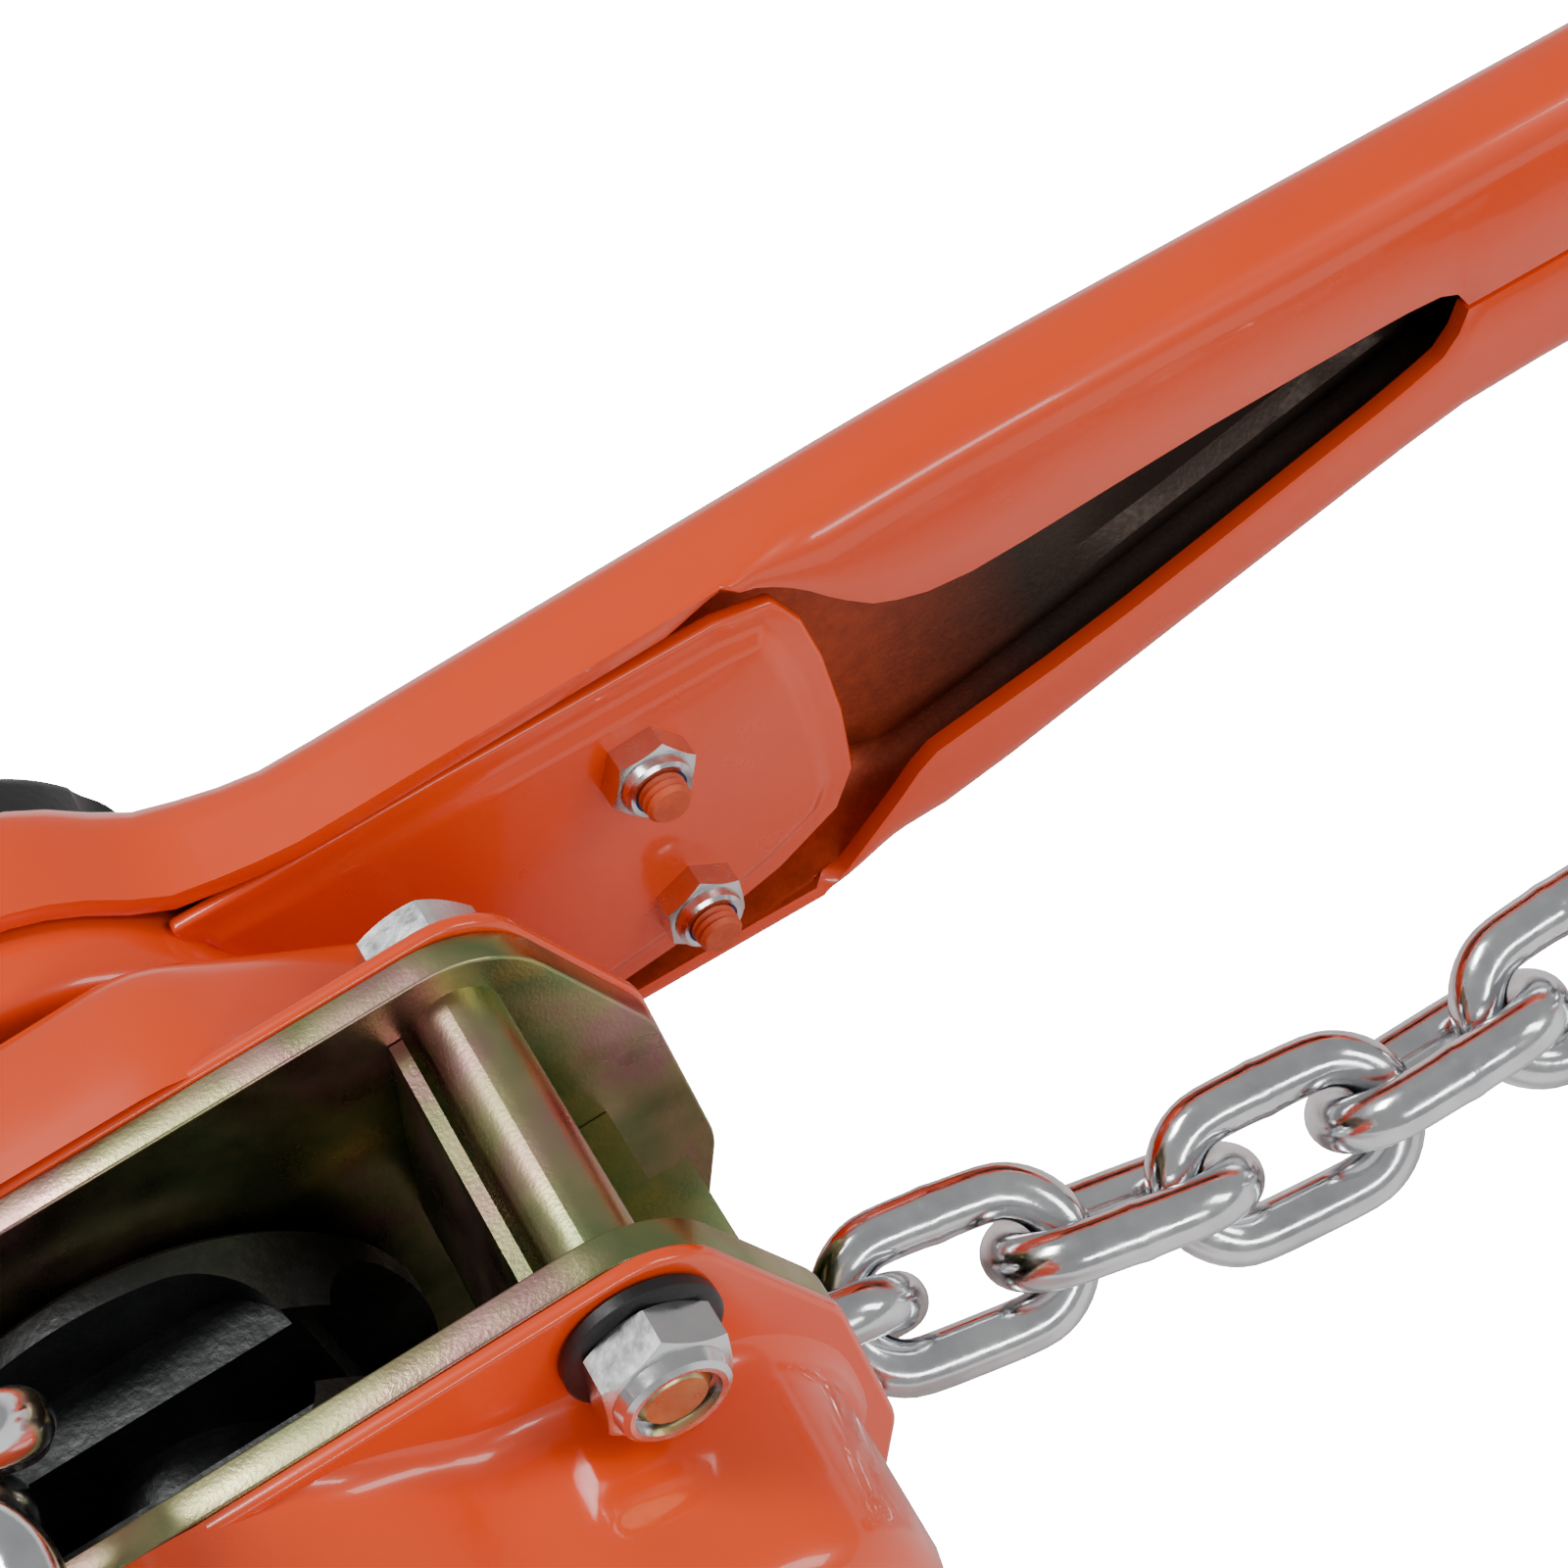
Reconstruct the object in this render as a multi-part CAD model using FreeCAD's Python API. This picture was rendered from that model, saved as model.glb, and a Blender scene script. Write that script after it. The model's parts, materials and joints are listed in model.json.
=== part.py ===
import FreeCAD, Part
import math
import os

# Lever chain hoist, 1.5 t class, lying on its long edges with the load chain run out a little.
#
# Built about the drive axis, which runs along Y through the middle of the side plates.
# +X runs along the hoist to the load hook, +Y to the lever, +Z up across the plates.
# The finished nodes are moved so that the origin is on the floor under the middle of the box.

V = FreeCAD.Vector
Y_AXIS = V(0, 1, 0)

# ---- driving dimensions, millimetres ----
gap = 36.0                 # clear width between the two side plates
plate_t = 4.0
plate_end = 67.5           # drive axis to either end of a plate
plate_half = 41.0          # drive axis to either long edge of a plate
chamfer_x = 10.5           # end chamfer, measured along the plate
chamfer_z = 28.0           # end chamfer, measured across the plate
floor_z = -42.0            # what the hoist lies on

stay_x = 49.5
stay_z = 32.0
stay_r = 4.0
spacer_r = 5.0
nut_flats = 13.0
lever_nut_flats = 10.0

wire = 7.1                 # chain wire diameter
pitch = 21.0               # chain pitch, the inside length of a link
link_inside = 8.9          # inside width of a link
sheave_r = 30.5
sheave_half = 16.5
pocket_count = 4
pulled_play = 0.7          # how far each load chain link is pulled out of the last one
wheel_step = 20.4          # link to link where the chain lies round the sheave
chain_r = wheel_step / 2 / math.tan(math.pi / 8)      # drive axis to a link's middle

gear_arm = 33.0            # drive axis to a disc gear's axis
fine_m = 1.5               # module, pinion with disc gears
coarse_m = 2.0             # module, disc gear hubs with load gear
pinion_teeth = 14
disc_teeth = 30
hub_teeth = 9
load_teeth = 24

case_lobe_x = 36.0
case_lobe_r = 28.0
case_r = 42.0
case_y = -50.0             # outer face of the gear case
sheet = 2.0                # pressed cover thickness
brake_top_y = 43.0         # outer face of the brake cover

lever_droop = 2.3          # degrees below the long axis, where it was left
lever_web_y = 70.0         # outer face of the lever
lever_edge_y = 53.5        # free edges of the lever's channel
lever_sheet = 2.6
lever_len = 300.0
lever_bolt_x = 82.0
lever_bolt_z = 13.8
ratchet_teeth = 16

top_pin_x = -50.0
top_droop = 17.6           # degrees, the top hook lying on the floor
hook_r = 24.0              # hook bowl, middle of the section
hook_bar = 8.0

STAYS = [(stay_x, stay_z), (-stay_x, stay_z), (-stay_x, -stay_z)]
bearing_r = 19.0      # wheel bearing in the side plate
journal_r = 14.0      # the wheel's journals
pin_r = 7.0      # top pin
sheave_bore = 10.5      # bore of the wheel round the pinion shaft
shaft_r = 8.0      # pinion shaft
thread_r = 7.4               # the shaft's coarse thread, at its crests
thread_end = 70.0      # end of the coarse thread
stud_spots = [(-16.0, 33.0), (16.0, -33.0)]
stud_r = 3.0      # pawl studs
flange_y = gap / 2 + plate_t                 # outer face of either plate
head_y = flange_y + sheet                    # seat of the stay bolt heads
washer_t = 2.0      # stay washers
load_gear_y = (-34.0, -25.0)
disc_gear_y = (-45.0, -37.0)
brake_opening_r = 33.0      # mouth of the brake cover
cog_teeth = 12      # cog the change pawl drives
cog_y = (58.5, 68.0)
wheel_y = 81.5               # back of the hand wheel
wheel_t = 14.5      # hand wheel
wheel_r = 26.0      # hand wheel
tail_y = 88.0      # end of the change gear's hub
cog_tip_r = 25.0
housing_r = 39.5
housing_y = (58.0, 78.0)
lever_half = 30.0          # half the lever's width where it leaves the housing
tube_x = 200.0             # the handle is a closed tube beyond here
top_rise_x = (44.0, 130.0)     # the upper edge rises between these
low_rise_x = (118.0, 200.0)    # the lower edge rises between these, and the handle is narrower
handle_z = (-9.5, 34.5)        # lower and upper edge of the handle
selector_x = 54.0      # drive axis to the selector's spindle
crank = (18.0, 44.0)       # where the lever steps towards the load line
tongue_y = 56.2            # far face of the inner plate's tongue
inner_t = 2.5      # lever inner plate
plate_hub_r = 36.2      # the inner plate's cup
nut_x = (18.0, 26.0)
block_x = (6.0, 38.0)
neck_x = 43.0      # yoke pin to the hook neck
throat_x = neck_x + 20.0
ear_y = 12.5      # latch pin's height over the hook's axis
chain_pin_r = 3.3      # pin through the last link
link_half = pitch / 2 - link_inside / 2     # link's middle to the centre of its end bend
side_y = (link_inside + wire) / 2           # link's middle line to its side bars
floor_hook_z = floor_z + side_y + wire / 2 + 0.25
load_twists = [11, 12, 12, 10, 0, 0, 0, -15, -15, -15, 0]
over_r = 38.0                      # bend of the slack strand over the gear case
over_y = -41.0      # middle of that bend
over_z = 28.0
land_r = 34.0                      # its bend on to the floor
slack_x = -11.0      # where the slack strand falls
slack_links = 24
settle_from = 14                   # first link that starts leaning over as the chain lands


def cyl(r, y0, y1, x=0.0, z=0.0):
    """Cylinder along Y."""
    return Part.makeCylinder(r, y1 - y0, V(x, y0, z), Y_AXIS)


def ring(r_out, r_in, y0, y1, x=0.0, z=0.0):
    return cyl(r_out, y0, y1, x, z).cut(cyl(r_in, y0 - 1, y1 + 1, x, z))


def prism(points, y0, y1):
    """Flat outline in X and Z, given thickness along Y."""
    wire_pts = [V(x, y0, z) for x, z in points]
    face = Part.Face(Part.makePolygon(wire_pts + wire_pts[:1]))
    return face.extrude(V(0, y1 - y0, 0))


def box(x0, x1, y0, y1, z0, z1):
    return Part.makeBox(x1 - x0, y1 - y0, z1 - z0, V(x0, y0, z0))


def fuse(shapes):
    out = shapes[0].multiFuse(shapes[1:]) if len(shapes) > 1 else shapes[0]
    return out.removeSplitter()


def group(shapes):
    return Part.makeCompound(shapes)


def hexagon(flats, y0, y1, x=0.0, z=0.0, turn=0.0):
    r = flats / math.sqrt(3)
    pts = []
    for k in range(6):
        a = math.radians(60 * k + turn)
        pts.append((x + r * math.cos(a), z + r * math.sin(a)))
    rounded = cyl(r * 0.985, y0, y1, x, z)
    return prism(pts, y0, y1).common(rounded)


def stadium(half_len, r, y0, y1):
    """Two round ends joined by straight sides, long way along X."""
    return fuse([cyl(r, y0, y1, -half_len), cyl(r, y0, y1, half_len),
                 box(-half_len, half_len, y0, y1, -r, r)])


def y_edges(shape, least):
    """The edges that run along Y and are at least that long."""
    out = []
    for e in shape.Edges:
        if e.Curve.TypeId != "Part::GeomLine" or e.Length < least:
            continue
        if abs(abs(e.tangentAt(e.FirstParameter).y) - 1) < 1e-6:
            out.append(e)
    return out


def edges_at_y(shape, y):
    """The edges that lie wholly at one height along Y."""
    out = []
    for e in shape.Edges:
        b = e.BoundBox
        if abs(b.YMin - y) < 1e-4 and abs(b.YMax - y) < 1e-4:
            out.append(e)
    return out


def plate_outline(grow=0.0):
    e = plate_end + grow
    h = plate_half + grow
    cx = e - chamfer_x
    cz = h - chamfer_z
    return [(cx, h), (e, cz), (e, -cz), (cx, -h), (-cx, -h), (-e, -cz), (-e, cz), (-cx, h)]


def plate_blank(y0, y1, grow=0.0, corner=7.0):
    blank = prism(plate_outline(grow), y0, y1)
    return blank.makeFillet(corner, y_edges(blank, 1.0))


def side_plate(side):
    y0, y1 = (gap / 2, gap / 2 + plate_t) if side > 0 else (-gap / 2 - plate_t, -gap / 2)
    p = plate_blank(y0, y1)
    cuts = [cyl(stay_r + 0.2, y0 - 1, y1 + 1, x, z) for x, z in STAYS]
    cuts.append(cyl(bearing_r, y0 - 1, y1 + 1))
    cuts.append(cyl(pin_r + 0.05, y0 - 1, y1 + 1, top_pin_x))
    if side < 0:
        cuts += [cyl(5.0, y0 - 1, y1 + 1, s * gear_arm) for s in (-1, 1)]
    else:
        cuts += [cyl(stud_r, y0 - 1, y1 + 1, x, z) for x, z in stud_spots]
    return p.cut(group(cuts))


def stay_bolts():
    out = []
    for x, z in STAYS:
        shank = cyl(stay_r, -head_y - 11.0, head_y, x, z)
        head = hexagon(nut_flats, head_y, head_y + 5.5, x, z, 12.0)
        out.append(fuse([shank, head]))
    return group(out)


def stay_spacers():
    return group([ring(spacer_r, stay_r + 0.05, -gap / 2, gap / 2, x, z) for x, z in STAYS])


def stay_washers():
    y1 = -head_y
    return group([ring(8.4, stay_r + 0.05, y1 - washer_t, y1, x, z) for x, z in STAYS])


def stay_nuts():
    y1 = -head_y - washer_t
    out = []
    for x, z in STAYS:
        nut = hexagon(nut_flats, y1 - 7.0, y1, x, z, 20.0)
        out.append(nut.cut(cyl(stay_r + 0.02, y1 - 8.0, y1 + 1, x, z)))
    return group(out)


def sheave_bearings():
    """A bearing ring in each side plate; the sheave's journals run in them."""
    y = gap / 2
    return group([ring(bearing_r, journal_r + 0.05, y, y + plate_t),
                  ring(bearing_r, journal_r + 0.05, -y - plate_t, -y)])


def load_sheave():
    body = cyl(sheave_r, -sheave_half, sheave_half)
    rim = edges_at_y(body, sheave_half) + edges_at_y(body, -sheave_half)
    body = body.makeChamfer(1.5, rim)
    journals = cyl(journal_r, -flange_y - 0.6, flange_y)
    boss = ring(20.0, sheave_bore, sheave_half - 0.5, gap / 2 - 0.3)
    spline = cyl(12.0, -34.0, -flange_y)
    body = fuse([body, journals, boss, spline])
    groove_r = chain_r - link_inside / 2 - wire - 0.6
    groove_half = wire / 2 + 1.2
    body = body.cut(ring(sheave_r + 5, groove_r, -groove_half, groove_half))
    # pockets: an oblong well for each flat link, its floor just under the link
    floor_r = chain_r - wire / 2 - 0.9
    half_w = link_inside / 2 + wire + 0.5
    half_l = pitch / 2 + wire + 1.9
    well = box(-half_l, half_l, -half_w, half_w, -sheave_r - 5, -floor_r)
    well = well.makeFillet(9.0, [e for e in well.Edges if e.BoundBox.ZLength > 5])
    for k in range(pocket_count):
        w = well.copy()
        w.rotate(V(0, 0, 0), Y_AXIS, 360.0 / pocket_count * k)
        body = body.cut(w)
    return body.cut(cyl(sheave_bore, -40.0, 40.0))


def gear_wire(teeth, module, turn, addendum=0.8, dedendum=1.1, play=0.2):
    """Outline points of a spur gear: straight-flanked teeth, wide at the root."""
    r = teeth * module / 2
    r_tip = r + addendum * module
    r_root = r - dedendum * module
    tooth = math.pi * module / 2 - play * module
    half_pitch = tooth / 2 / r
    half_tip = (tooth / 2 - 0.55 * addendum * module * 0.75) / r_tip
    half_root = (tooth / 2 + 0.36 * dedendum * module * 0.75) / r_root
    pts = []
    for k in range(teeth):
        a = math.radians(turn) + 2 * math.pi * k / teeth
        for radius, off in ((r_root, -half_root), (r, -half_pitch), (r_tip, -half_tip),
                            (r_tip, half_tip), (r, half_pitch), (r_root, half_root)):
            pts.append((radius * math.cos(a + off), radius * math.sin(a + off)))
    return pts


def gear(teeth, module, y0, y1, x=0.0, turn=0.0):
    pts = [(px + x, pz) for px, pz in gear_wire(teeth, module, turn)]
    return prism(pts, y0, y1)


def load_gear():
    g = gear(load_teeth, coarse_m, load_gear_y[0], load_gear_y[1])
    return g.cut(cyl(12.0, -60, 0))


def sheave_clip():
    return ring(13.6, 12.0, flange_y * -1 - 2.6, flange_y * -1 - 1.2)


def disc_gear(side):
    x = side * gear_arm
    hub_turn = 0.0 if side > 0 else 180.0
    big = gear(disc_teeth, fine_m, disc_gear_y[0], disc_gear_y[1], x, 180.0 / disc_teeth)
    small = gear(hub_teeth, coarse_m, load_gear_y[0] - 1.0, load_gear_y[1] + 1.0, x, hub_turn)
    neck = cyl(6.5, disc_gear_y[1] - 0.5, load_gear_y[0], x)
    inner = cyl(4.95, load_gear_y[1], -gap / 2 - 0.5, x)
    outer = cyl(4.95, case_y + sheet + 0.1, disc_gear_y[0] + 0.5, x)
    rim = ring(19.0, 11.0, disc_gear_y[0] - 1, disc_gear_y[0] + 2, x)
    return fuse([big, small, neck, inner, outer]).cut(rim)


def gear_cover():
    def shell(inset, y_end):
        lobes = stadium(case_lobe_x, case_lobe_r - inset, y_end, -flange_y)
        round_part = cyl(case_r - inset, y_end, -flange_y)
        s = fuse([lobes, round_part])
        wells = [cyl(9.6 + inset, y_end - 1, -flange_y + 1, sx * stay_x, sz * stay_z)
                 for sx in (-1, 1) for sz in (-1, 1)]
        return s.cut(group(wells)).removeSplitter()
    outer = shell(0.0, case_y)
    outer = outer.makeFillet(4.0, edges_at_y(outer, case_y))
    inner = shell(sheet, case_y + sheet)
    flange = plate_blank(-flange_y - sheet, -flange_y, 0.3)
    bosses = [ring(8.5, 5.0, case_y + 1.0, disc_gear_y[0] - 0.7, s * gear_arm) for s in (-1, 1)]
    bosses.append(ring(9.5, 6.05, case_y + 1.0, -46.6))
    cover = fuse([flange, outer]).cut(inner)
    cover = fuse([cover] + bosses)
    return cover.cut(group([cyl(stay_r + 0.2, -30, -20, x, z) for x, z in STAYS]))


def brake_outline(inset):
    k = inset
    return [(24 - k * 0.45, 42 - k), (51.5 - k, 21 - k * 0.3), (51.5 - k, -21 + k * 0.3),
            (24 - k * 0.45, -42 + k), (-24 + k * 0.45, -42 + k), (-51.5 + k, -21 + k * 0.3),
            (-51.5 + k, 21 - k * 0.3), (-24 + k * 0.45, 42 - k)]


def brake_cover():
    outer = prism(brake_outline(0.0), flange_y, brake_top_y)
    outer = outer.makeFillet(14.0, y_edges(outer, 5.0))
    outer = outer.makeFillet(4.5, edges_at_y(outer, brake_top_y))
    inner = prism(brake_outline(sheet), flange_y - 1, brake_top_y - sheet)
    inner = inner.makeFillet(12.0, y_edges(inner, 5.0))
    flange = plate_blank(flange_y, flange_y + sheet, 0.3)
    openings = [cyl(38.0, 0, 60)]
    openings += [cyl(5.0, 0, 60, x, z) for x, z in stud_spots]
    flange = flange.cut(group(openings))
    cover = fuse([flange, outer]).cut(inner)
    cover = cover.cut(cyl(brake_opening_r, 30, 60))
    return cover.cut(group([cyl(stay_r + 0.2, 20, 30, x, z) for x, z in STAYS]))


def chain_guide():
    """Bent sheet between the plates: keeps the chain in the sheave above the chain exit."""
    y = gap / 2 - 0.2
    pts = [(42.2, 34.5), (43.8, 34.5), (40.2, 20.0), (37.0, 6.0), (35.4, 6.3), (38.6, 20.4)]
    return prism(pts, -y, y)


def stripper():
    """Sheet with a finger that lifts the chain out of the sheave's groove."""
    root = prism([(37.5, 1.0), (63.0, 1.0), (63.0, 3.4), (37.5, 3.4)], -7.5, 7.5)
    finger = prism([(20.0, 0.2), (38.5, 0.2), (38.5, 3.4), (24.0, 3.4)], -3.2, 3.2)
    ears = [box(50.0, 58.0, s * 12.5 - 5.4, s * 12.5 + 5.4, 1.0, 3.4) for s in (-1, 1)]
    return fuse([root, finger] + ears)


def pinion_shaft():
    teeth = gear(pinion_teeth, fine_m, disc_gear_y[0] - 0.8, disc_gear_y[1] + 0.8)
    parts = [teeth, cyl(6.0, case_y + sheet + 0.1, disc_gear_y[0]),
             cyl(shaft_r, disc_gear_y[1], 26.0), cyl(thread_r, 26.0, thread_end),
             cyl(5.5, thread_end, 88.5), cyl(4.0, 88.5, 105.0)]
    return fuse(parts)


def shaft_bushes():
    """Plain bushes in the sheave's bore, one at each end, for the pinion shaft."""
    return group([ring(sheave_bore, shaft_r + 0.05, s * 14.0 - 7.0, s * 14.0 + 7.0)
                  for s in (-1, 1)])


def brake_seat():
    flange = cyl(27.0, 26.8, 31.0)
    hub = cyl(13.0, 31.0, 41.8)
    return fuse([flange, hub]).cut(cyl(thread_r, 20, 50))


def friction_disc(y0):
    return ring(26.5, 13.3, y0, y0 + 2.2)


def ratchet_disc():
    """Saw-toothed ring between the friction discs."""
    r_tip = 31.0
    r_root = 28.0
    step = 360.0 / ratchet_teeth
    pts = []
    for k in range(ratchet_teeth):
        face = 94.0 + step * k
        for r, off in ((r_root, 0.0), (r_root, 4.5), (r_tip, 15.6), (r_tip, step - 0.8)):
            a = math.radians(face + off)
            pts.append((r * math.cos(a), r * math.sin(a)))
    return prism(pts, 33.5, 39.3).cut(cyl(13.3, 30, 45))


def change_gear():
    """Nut on the pinion shaft's thread, with the toothed wheel that the lever's pawl drives."""
    flange = cyl(28.5, 42.0, 46.5)
    neck = cyl(17.0, 46.0, cog_y[0] + 0.5)
    wheel = prism(cog_outline(), cog_y[0], cog_y[1])
    hub = cyl(15.0, cog_y[1] - 0.5, wheel_y)
    tail = cyl(11.5, wheel_y - 0.5, tail_y)
    body = fuse([flange, neck, wheel, hub, tail])
    return body.cut(cyl(thread_r + 0.05, 40, thread_end + 0.3)).cut(cyl(5.55, 60, tail_y + 5))


def cog_outline():
    r_root = 20.5
    pts = []
    for k in range(cog_teeth):
        a = 2 * math.pi * k / cog_teeth
        for r, off in ((r_root, -0.17), (cog_tip_r, -0.10), (cog_tip_r, 0.10), (r_root, 0.17)):
            pts.append((r * math.cos(a + off), r * math.sin(a + off)))
    return pts


def hand_wheel():
    """Small dished grip wheel over the end of the shaft, with eight finger scallops."""
    y0 = wheel_y
    y1 = wheel_y + wheel_t
    body = cyl(wheel_r, y0, y1)
    body = body.makeFillet(4.0, edges_at_y(body, y1))
    scallops = []
    for k in range(8):
        a = math.radians(45 * k + 22.5)
        reach = wheel_r + 4.5
        scallops.append(cyl(6.0, y0 - 5, y1 + 5, reach * math.cos(a), reach * math.sin(a)))
    dish = cyl(wheel_r - 8.0, y1 - 6.0, y1 + 5)
    body = body.cut(group(scallops)).cut(dish)
    return body.cut(cyl(11.56, y0 - 5, tail_y + 0.3)).cut(cyl(6.2, y0, y1 + 5))


def shaft_nut():
    y0 = wheel_y + wheel_t + 0.8
    nut = hexagon(nut_flats, y0, y0 + 5.5, 0.0, 0.0, 10.0)
    return nut.cut(cyl(4.0, y0 - 5, y0 + 10))


def nut_washer():
    y0 = wheel_y + wheel_t - 0.8
    return ring(9.0, 4.02, y0, y0 + 1.6)


def pawl_studs():
    out = []
    for x, z in stud_spots:
        post = cyl(stud_r, gap / 2 + 0.5, 40.4, x, z)
        out.append(post)
    return group(out)


def brake_pawl(index):
    """Pawl on a stud, its nose in the gap behind a ratchet tooth."""
    sx, sz = stud_spots[0]
    nose = [(-4.0, 1.0), (-2.5, 3.6), (2.0, 4.0), (12.0, -0.8), (13.4, -3.8), (11.0, -3.6),
            (9.6, -1.6), (2.0, -4.0), (-3.0, -3.2)]
    p = fuse([prism(nose, 33.7, 39.1), cyl(4.4, 33.7, 39.1)]).cut(cyl(stud_r + 0.06, 30, 45))
    p.translate(V(sx, 0, sz))
    p.rotate(V(0, 0, 0), Y_AXIS, 180.0 * index)
    return p


def pawl_springs():
    """Torsion springs round the studs, each a short closed coil."""
    return group([ring(4.4, 3.2, 24.6, 31.6, x, z) for x, z in stud_spots])


def turned(shape, degrees=lever_droop):
    """Turn a lever piece about the drive axis to where the lever was left."""
    s = shape.copy()
    s.rotate(V(0, 0, 0), Y_AXIS, degrees)
    return s


def lever_body(inset):
    """The lever's closed outer shape, or its inside when given the sheet's thickness."""
    k = inset
    half = lever_half - k
    low_z, high_z = handle_z[0] + k, handle_z[1] - k
    arm = prism([(20.0, half), (top_rise_x[0], half), (top_rise_x[1], high_z), (lever_len - 14.0, high_z),
                 (lever_len - k, high_z - 11.0), (lever_len - k, low_z + 11.0),
                 (lever_len - 14.0, low_z), (low_rise_x[1], low_z), (low_rise_x[0], -half),
                 (20.0, -half)], 30, 100)
    web = lever_web_y - k
    hub_web = housing_y[1] - k
    low = -5.0 if k else 0.0
    side = Part.Face(Part.makePolygon([
        V(-60, housing_y[0] + low, -60), V(crank[0], housing_y[0] + low, -60),
        V(crank[1], lever_edge_y + low, -60), V(lever_len + 5, lever_edge_y + low, -60),
        V(lever_len + 5, web, -60), V(crank[1], web, -60), V(crank[0], hub_web, -60),
        V(-60, hub_web, -60), V(-60, housing_y[0] + low, -60)])).extrude(V(0, 0, 120))
    housing = cyl(housing_r - k, housing_y[0] + low, hub_web)
    return fuse([arm, housing]).common(side)


def lever_shell():
    """Pressed channel, open towards the frame, rolled shut into the handle."""
    t = lever_sheet
    shell = lever_body(0.0).cut(lever_body(t))
    low_z, high_z = handle_z[0] + 1, handle_z[1] - 1
    front = prism([(104, lever_half), (top_rise_x[1], high_z), (lever_len - 14.0, high_z),
                   (lever_len - 1, high_z - 11.0), (lever_len - 1, low_z + 11.0),
                   (lever_len - 14.0, low_z), (low_rise_x[1], low_z), (low_rise_x[0], -lever_half + 1),
                   (104, -lever_half + 1)], lever_edge_y, lever_edge_y + t)
    upper_lip = [(100, 60), (107, 25.0), (119, 15.0), (125, 13.3), (160, 15.2), (194, 15.8)]
    end_lip = [(tube_x, 12.5), (tube_x, 7.5)]
    lower_lip = [(193, 3.4), (168, -3.6), (140, -10.8), (119, -14.3), (107, -24.0), (100, -60)]
    mouth = prism(upper_lip + end_lip + lower_lip, lever_edge_y - 1, lever_edge_y + t + 1)
    shell = fuse([shell, front.cut(mouth)])
    holes = [cyl(18.0, 70, 90), cyl(4.06, 60, 90, selector_x, 0.0)]
    holes += [cyl(3.1, 50, 80, lever_bolt_x, s * lever_bolt_z) for s in (-1, 1)]
    return turned(shell.cut(group(holes)))


def lever_inner_plate():
    """Pressed plate that closes the housing on the brake side, with a tongue for the two bolts."""
    t = inner_t
    y0 = tongue_y - t
    face_y = 48.0
    disc = cyl(plate_hub_r, face_y, face_y + t)
    wall = ring(plate_hub_r, plate_hub_r - t, face_y, 60.0)
    tongue = prism([(30.0, 25.0), (99.0, 25.0), (107.0, 8.0), (107.0, -9.0), (100.0, -18.0),
                    (88.0, -24.0), (30.0, -24.0)], y0, y0 + t)
    tongue = tongue.makeFillet(5.0, [e for e in y_edges(tongue, 1.0) if e.BoundBox.XMin > 80])
    tongue = tongue.cut(cyl(plate_hub_r - 0.5, 40, 60))
    body = fuse([disc.cut(cyl(29.5, 40, 60)), wall, tongue])
    holes = [cyl(3.1, 40, 70, lever_bolt_x, s * lever_bolt_z) for s in (-1, 1)]
    return turned(body.cut(group(holes)))


def lever_spacers():
    """Distance tubes on the two bolts, between the inner plate and the lever's web."""
    y1 = lever_web_y - lever_sheet
    return turned(group([ring(5.0, 3.05, tongue_y, y1, lever_bolt_x, s * lever_bolt_z)
                         for s in (-1, 1)]))


def lever_bolts():
    out = []
    for s in (-1, 1):
        z = s * lever_bolt_z
        shank = cyl(3.0, 44.5, lever_web_y, lever_bolt_x, z)
        head = hexagon(lever_nut_flats, lever_web_y, lever_web_y + 4.0, lever_bolt_x, z, 15.0)
        out.append(fuse([shank, head]))
    return turned(group(out))


def lever_nuts():
    y1 = tongue_y - inner_t
    out = []
    for s in (-1, 1):
        z = s * lever_bolt_z
        nut = hexagon(lever_nut_flats, y1 - 6.2, y1, lever_bolt_x, z, 8.0)
        out.append(nut.cut(cyl(3.02, 40, 60, lever_bolt_x, z)))
    return turned(group(out))


def change_pawl():
    """Two-nosed pawl on the selector's spindle, clear of the cog in neutral."""
    nose = [(-24.0, 9.5), (-21.0, 12.5), (2.0, 5.5), (6.0, 0.0), (2.0, -5.5), (-21.0, -12.5),
            (-24.0, -9.5), (-12.0, 0.0)]
    p = fuse([prism(nose, 60.0, 66.5), cyl(4.0, 60.0, 79.5)])
    p.translate(V(selector_x, 0, 0))
    return turned(p)


def selector_knob():
    """Pointer knob on the spindle outside the lever."""
    boss = cyl(8.5, lever_web_y + 0.5, 76.5)
    wing = prism([(-5.0, 5.0), (13.0, 3.6), (16.0, 0.0), (13.0, -3.6), (-5.0, -5.0)], 71.5, 79.5)
    knob = fuse([boss, wing]).cut(cyl(4.0, 60, 90))
    knob.translate(V(selector_x, 0, 0))
    return turned(knob)


# ---- hooks: built along +X from the yoke pin, hook plane flat, then placed ----
hook_turn = math.radians(112.0)          # where the hook's point stops, round the bowl


def bowl_centre():
    """The bowl's circle touches the neck's opposite bend."""
    bend = 14.0
    return neck_x + 4.0 + math.sqrt((hook_r + bend) ** 2 - bend ** 2), bend


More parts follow.
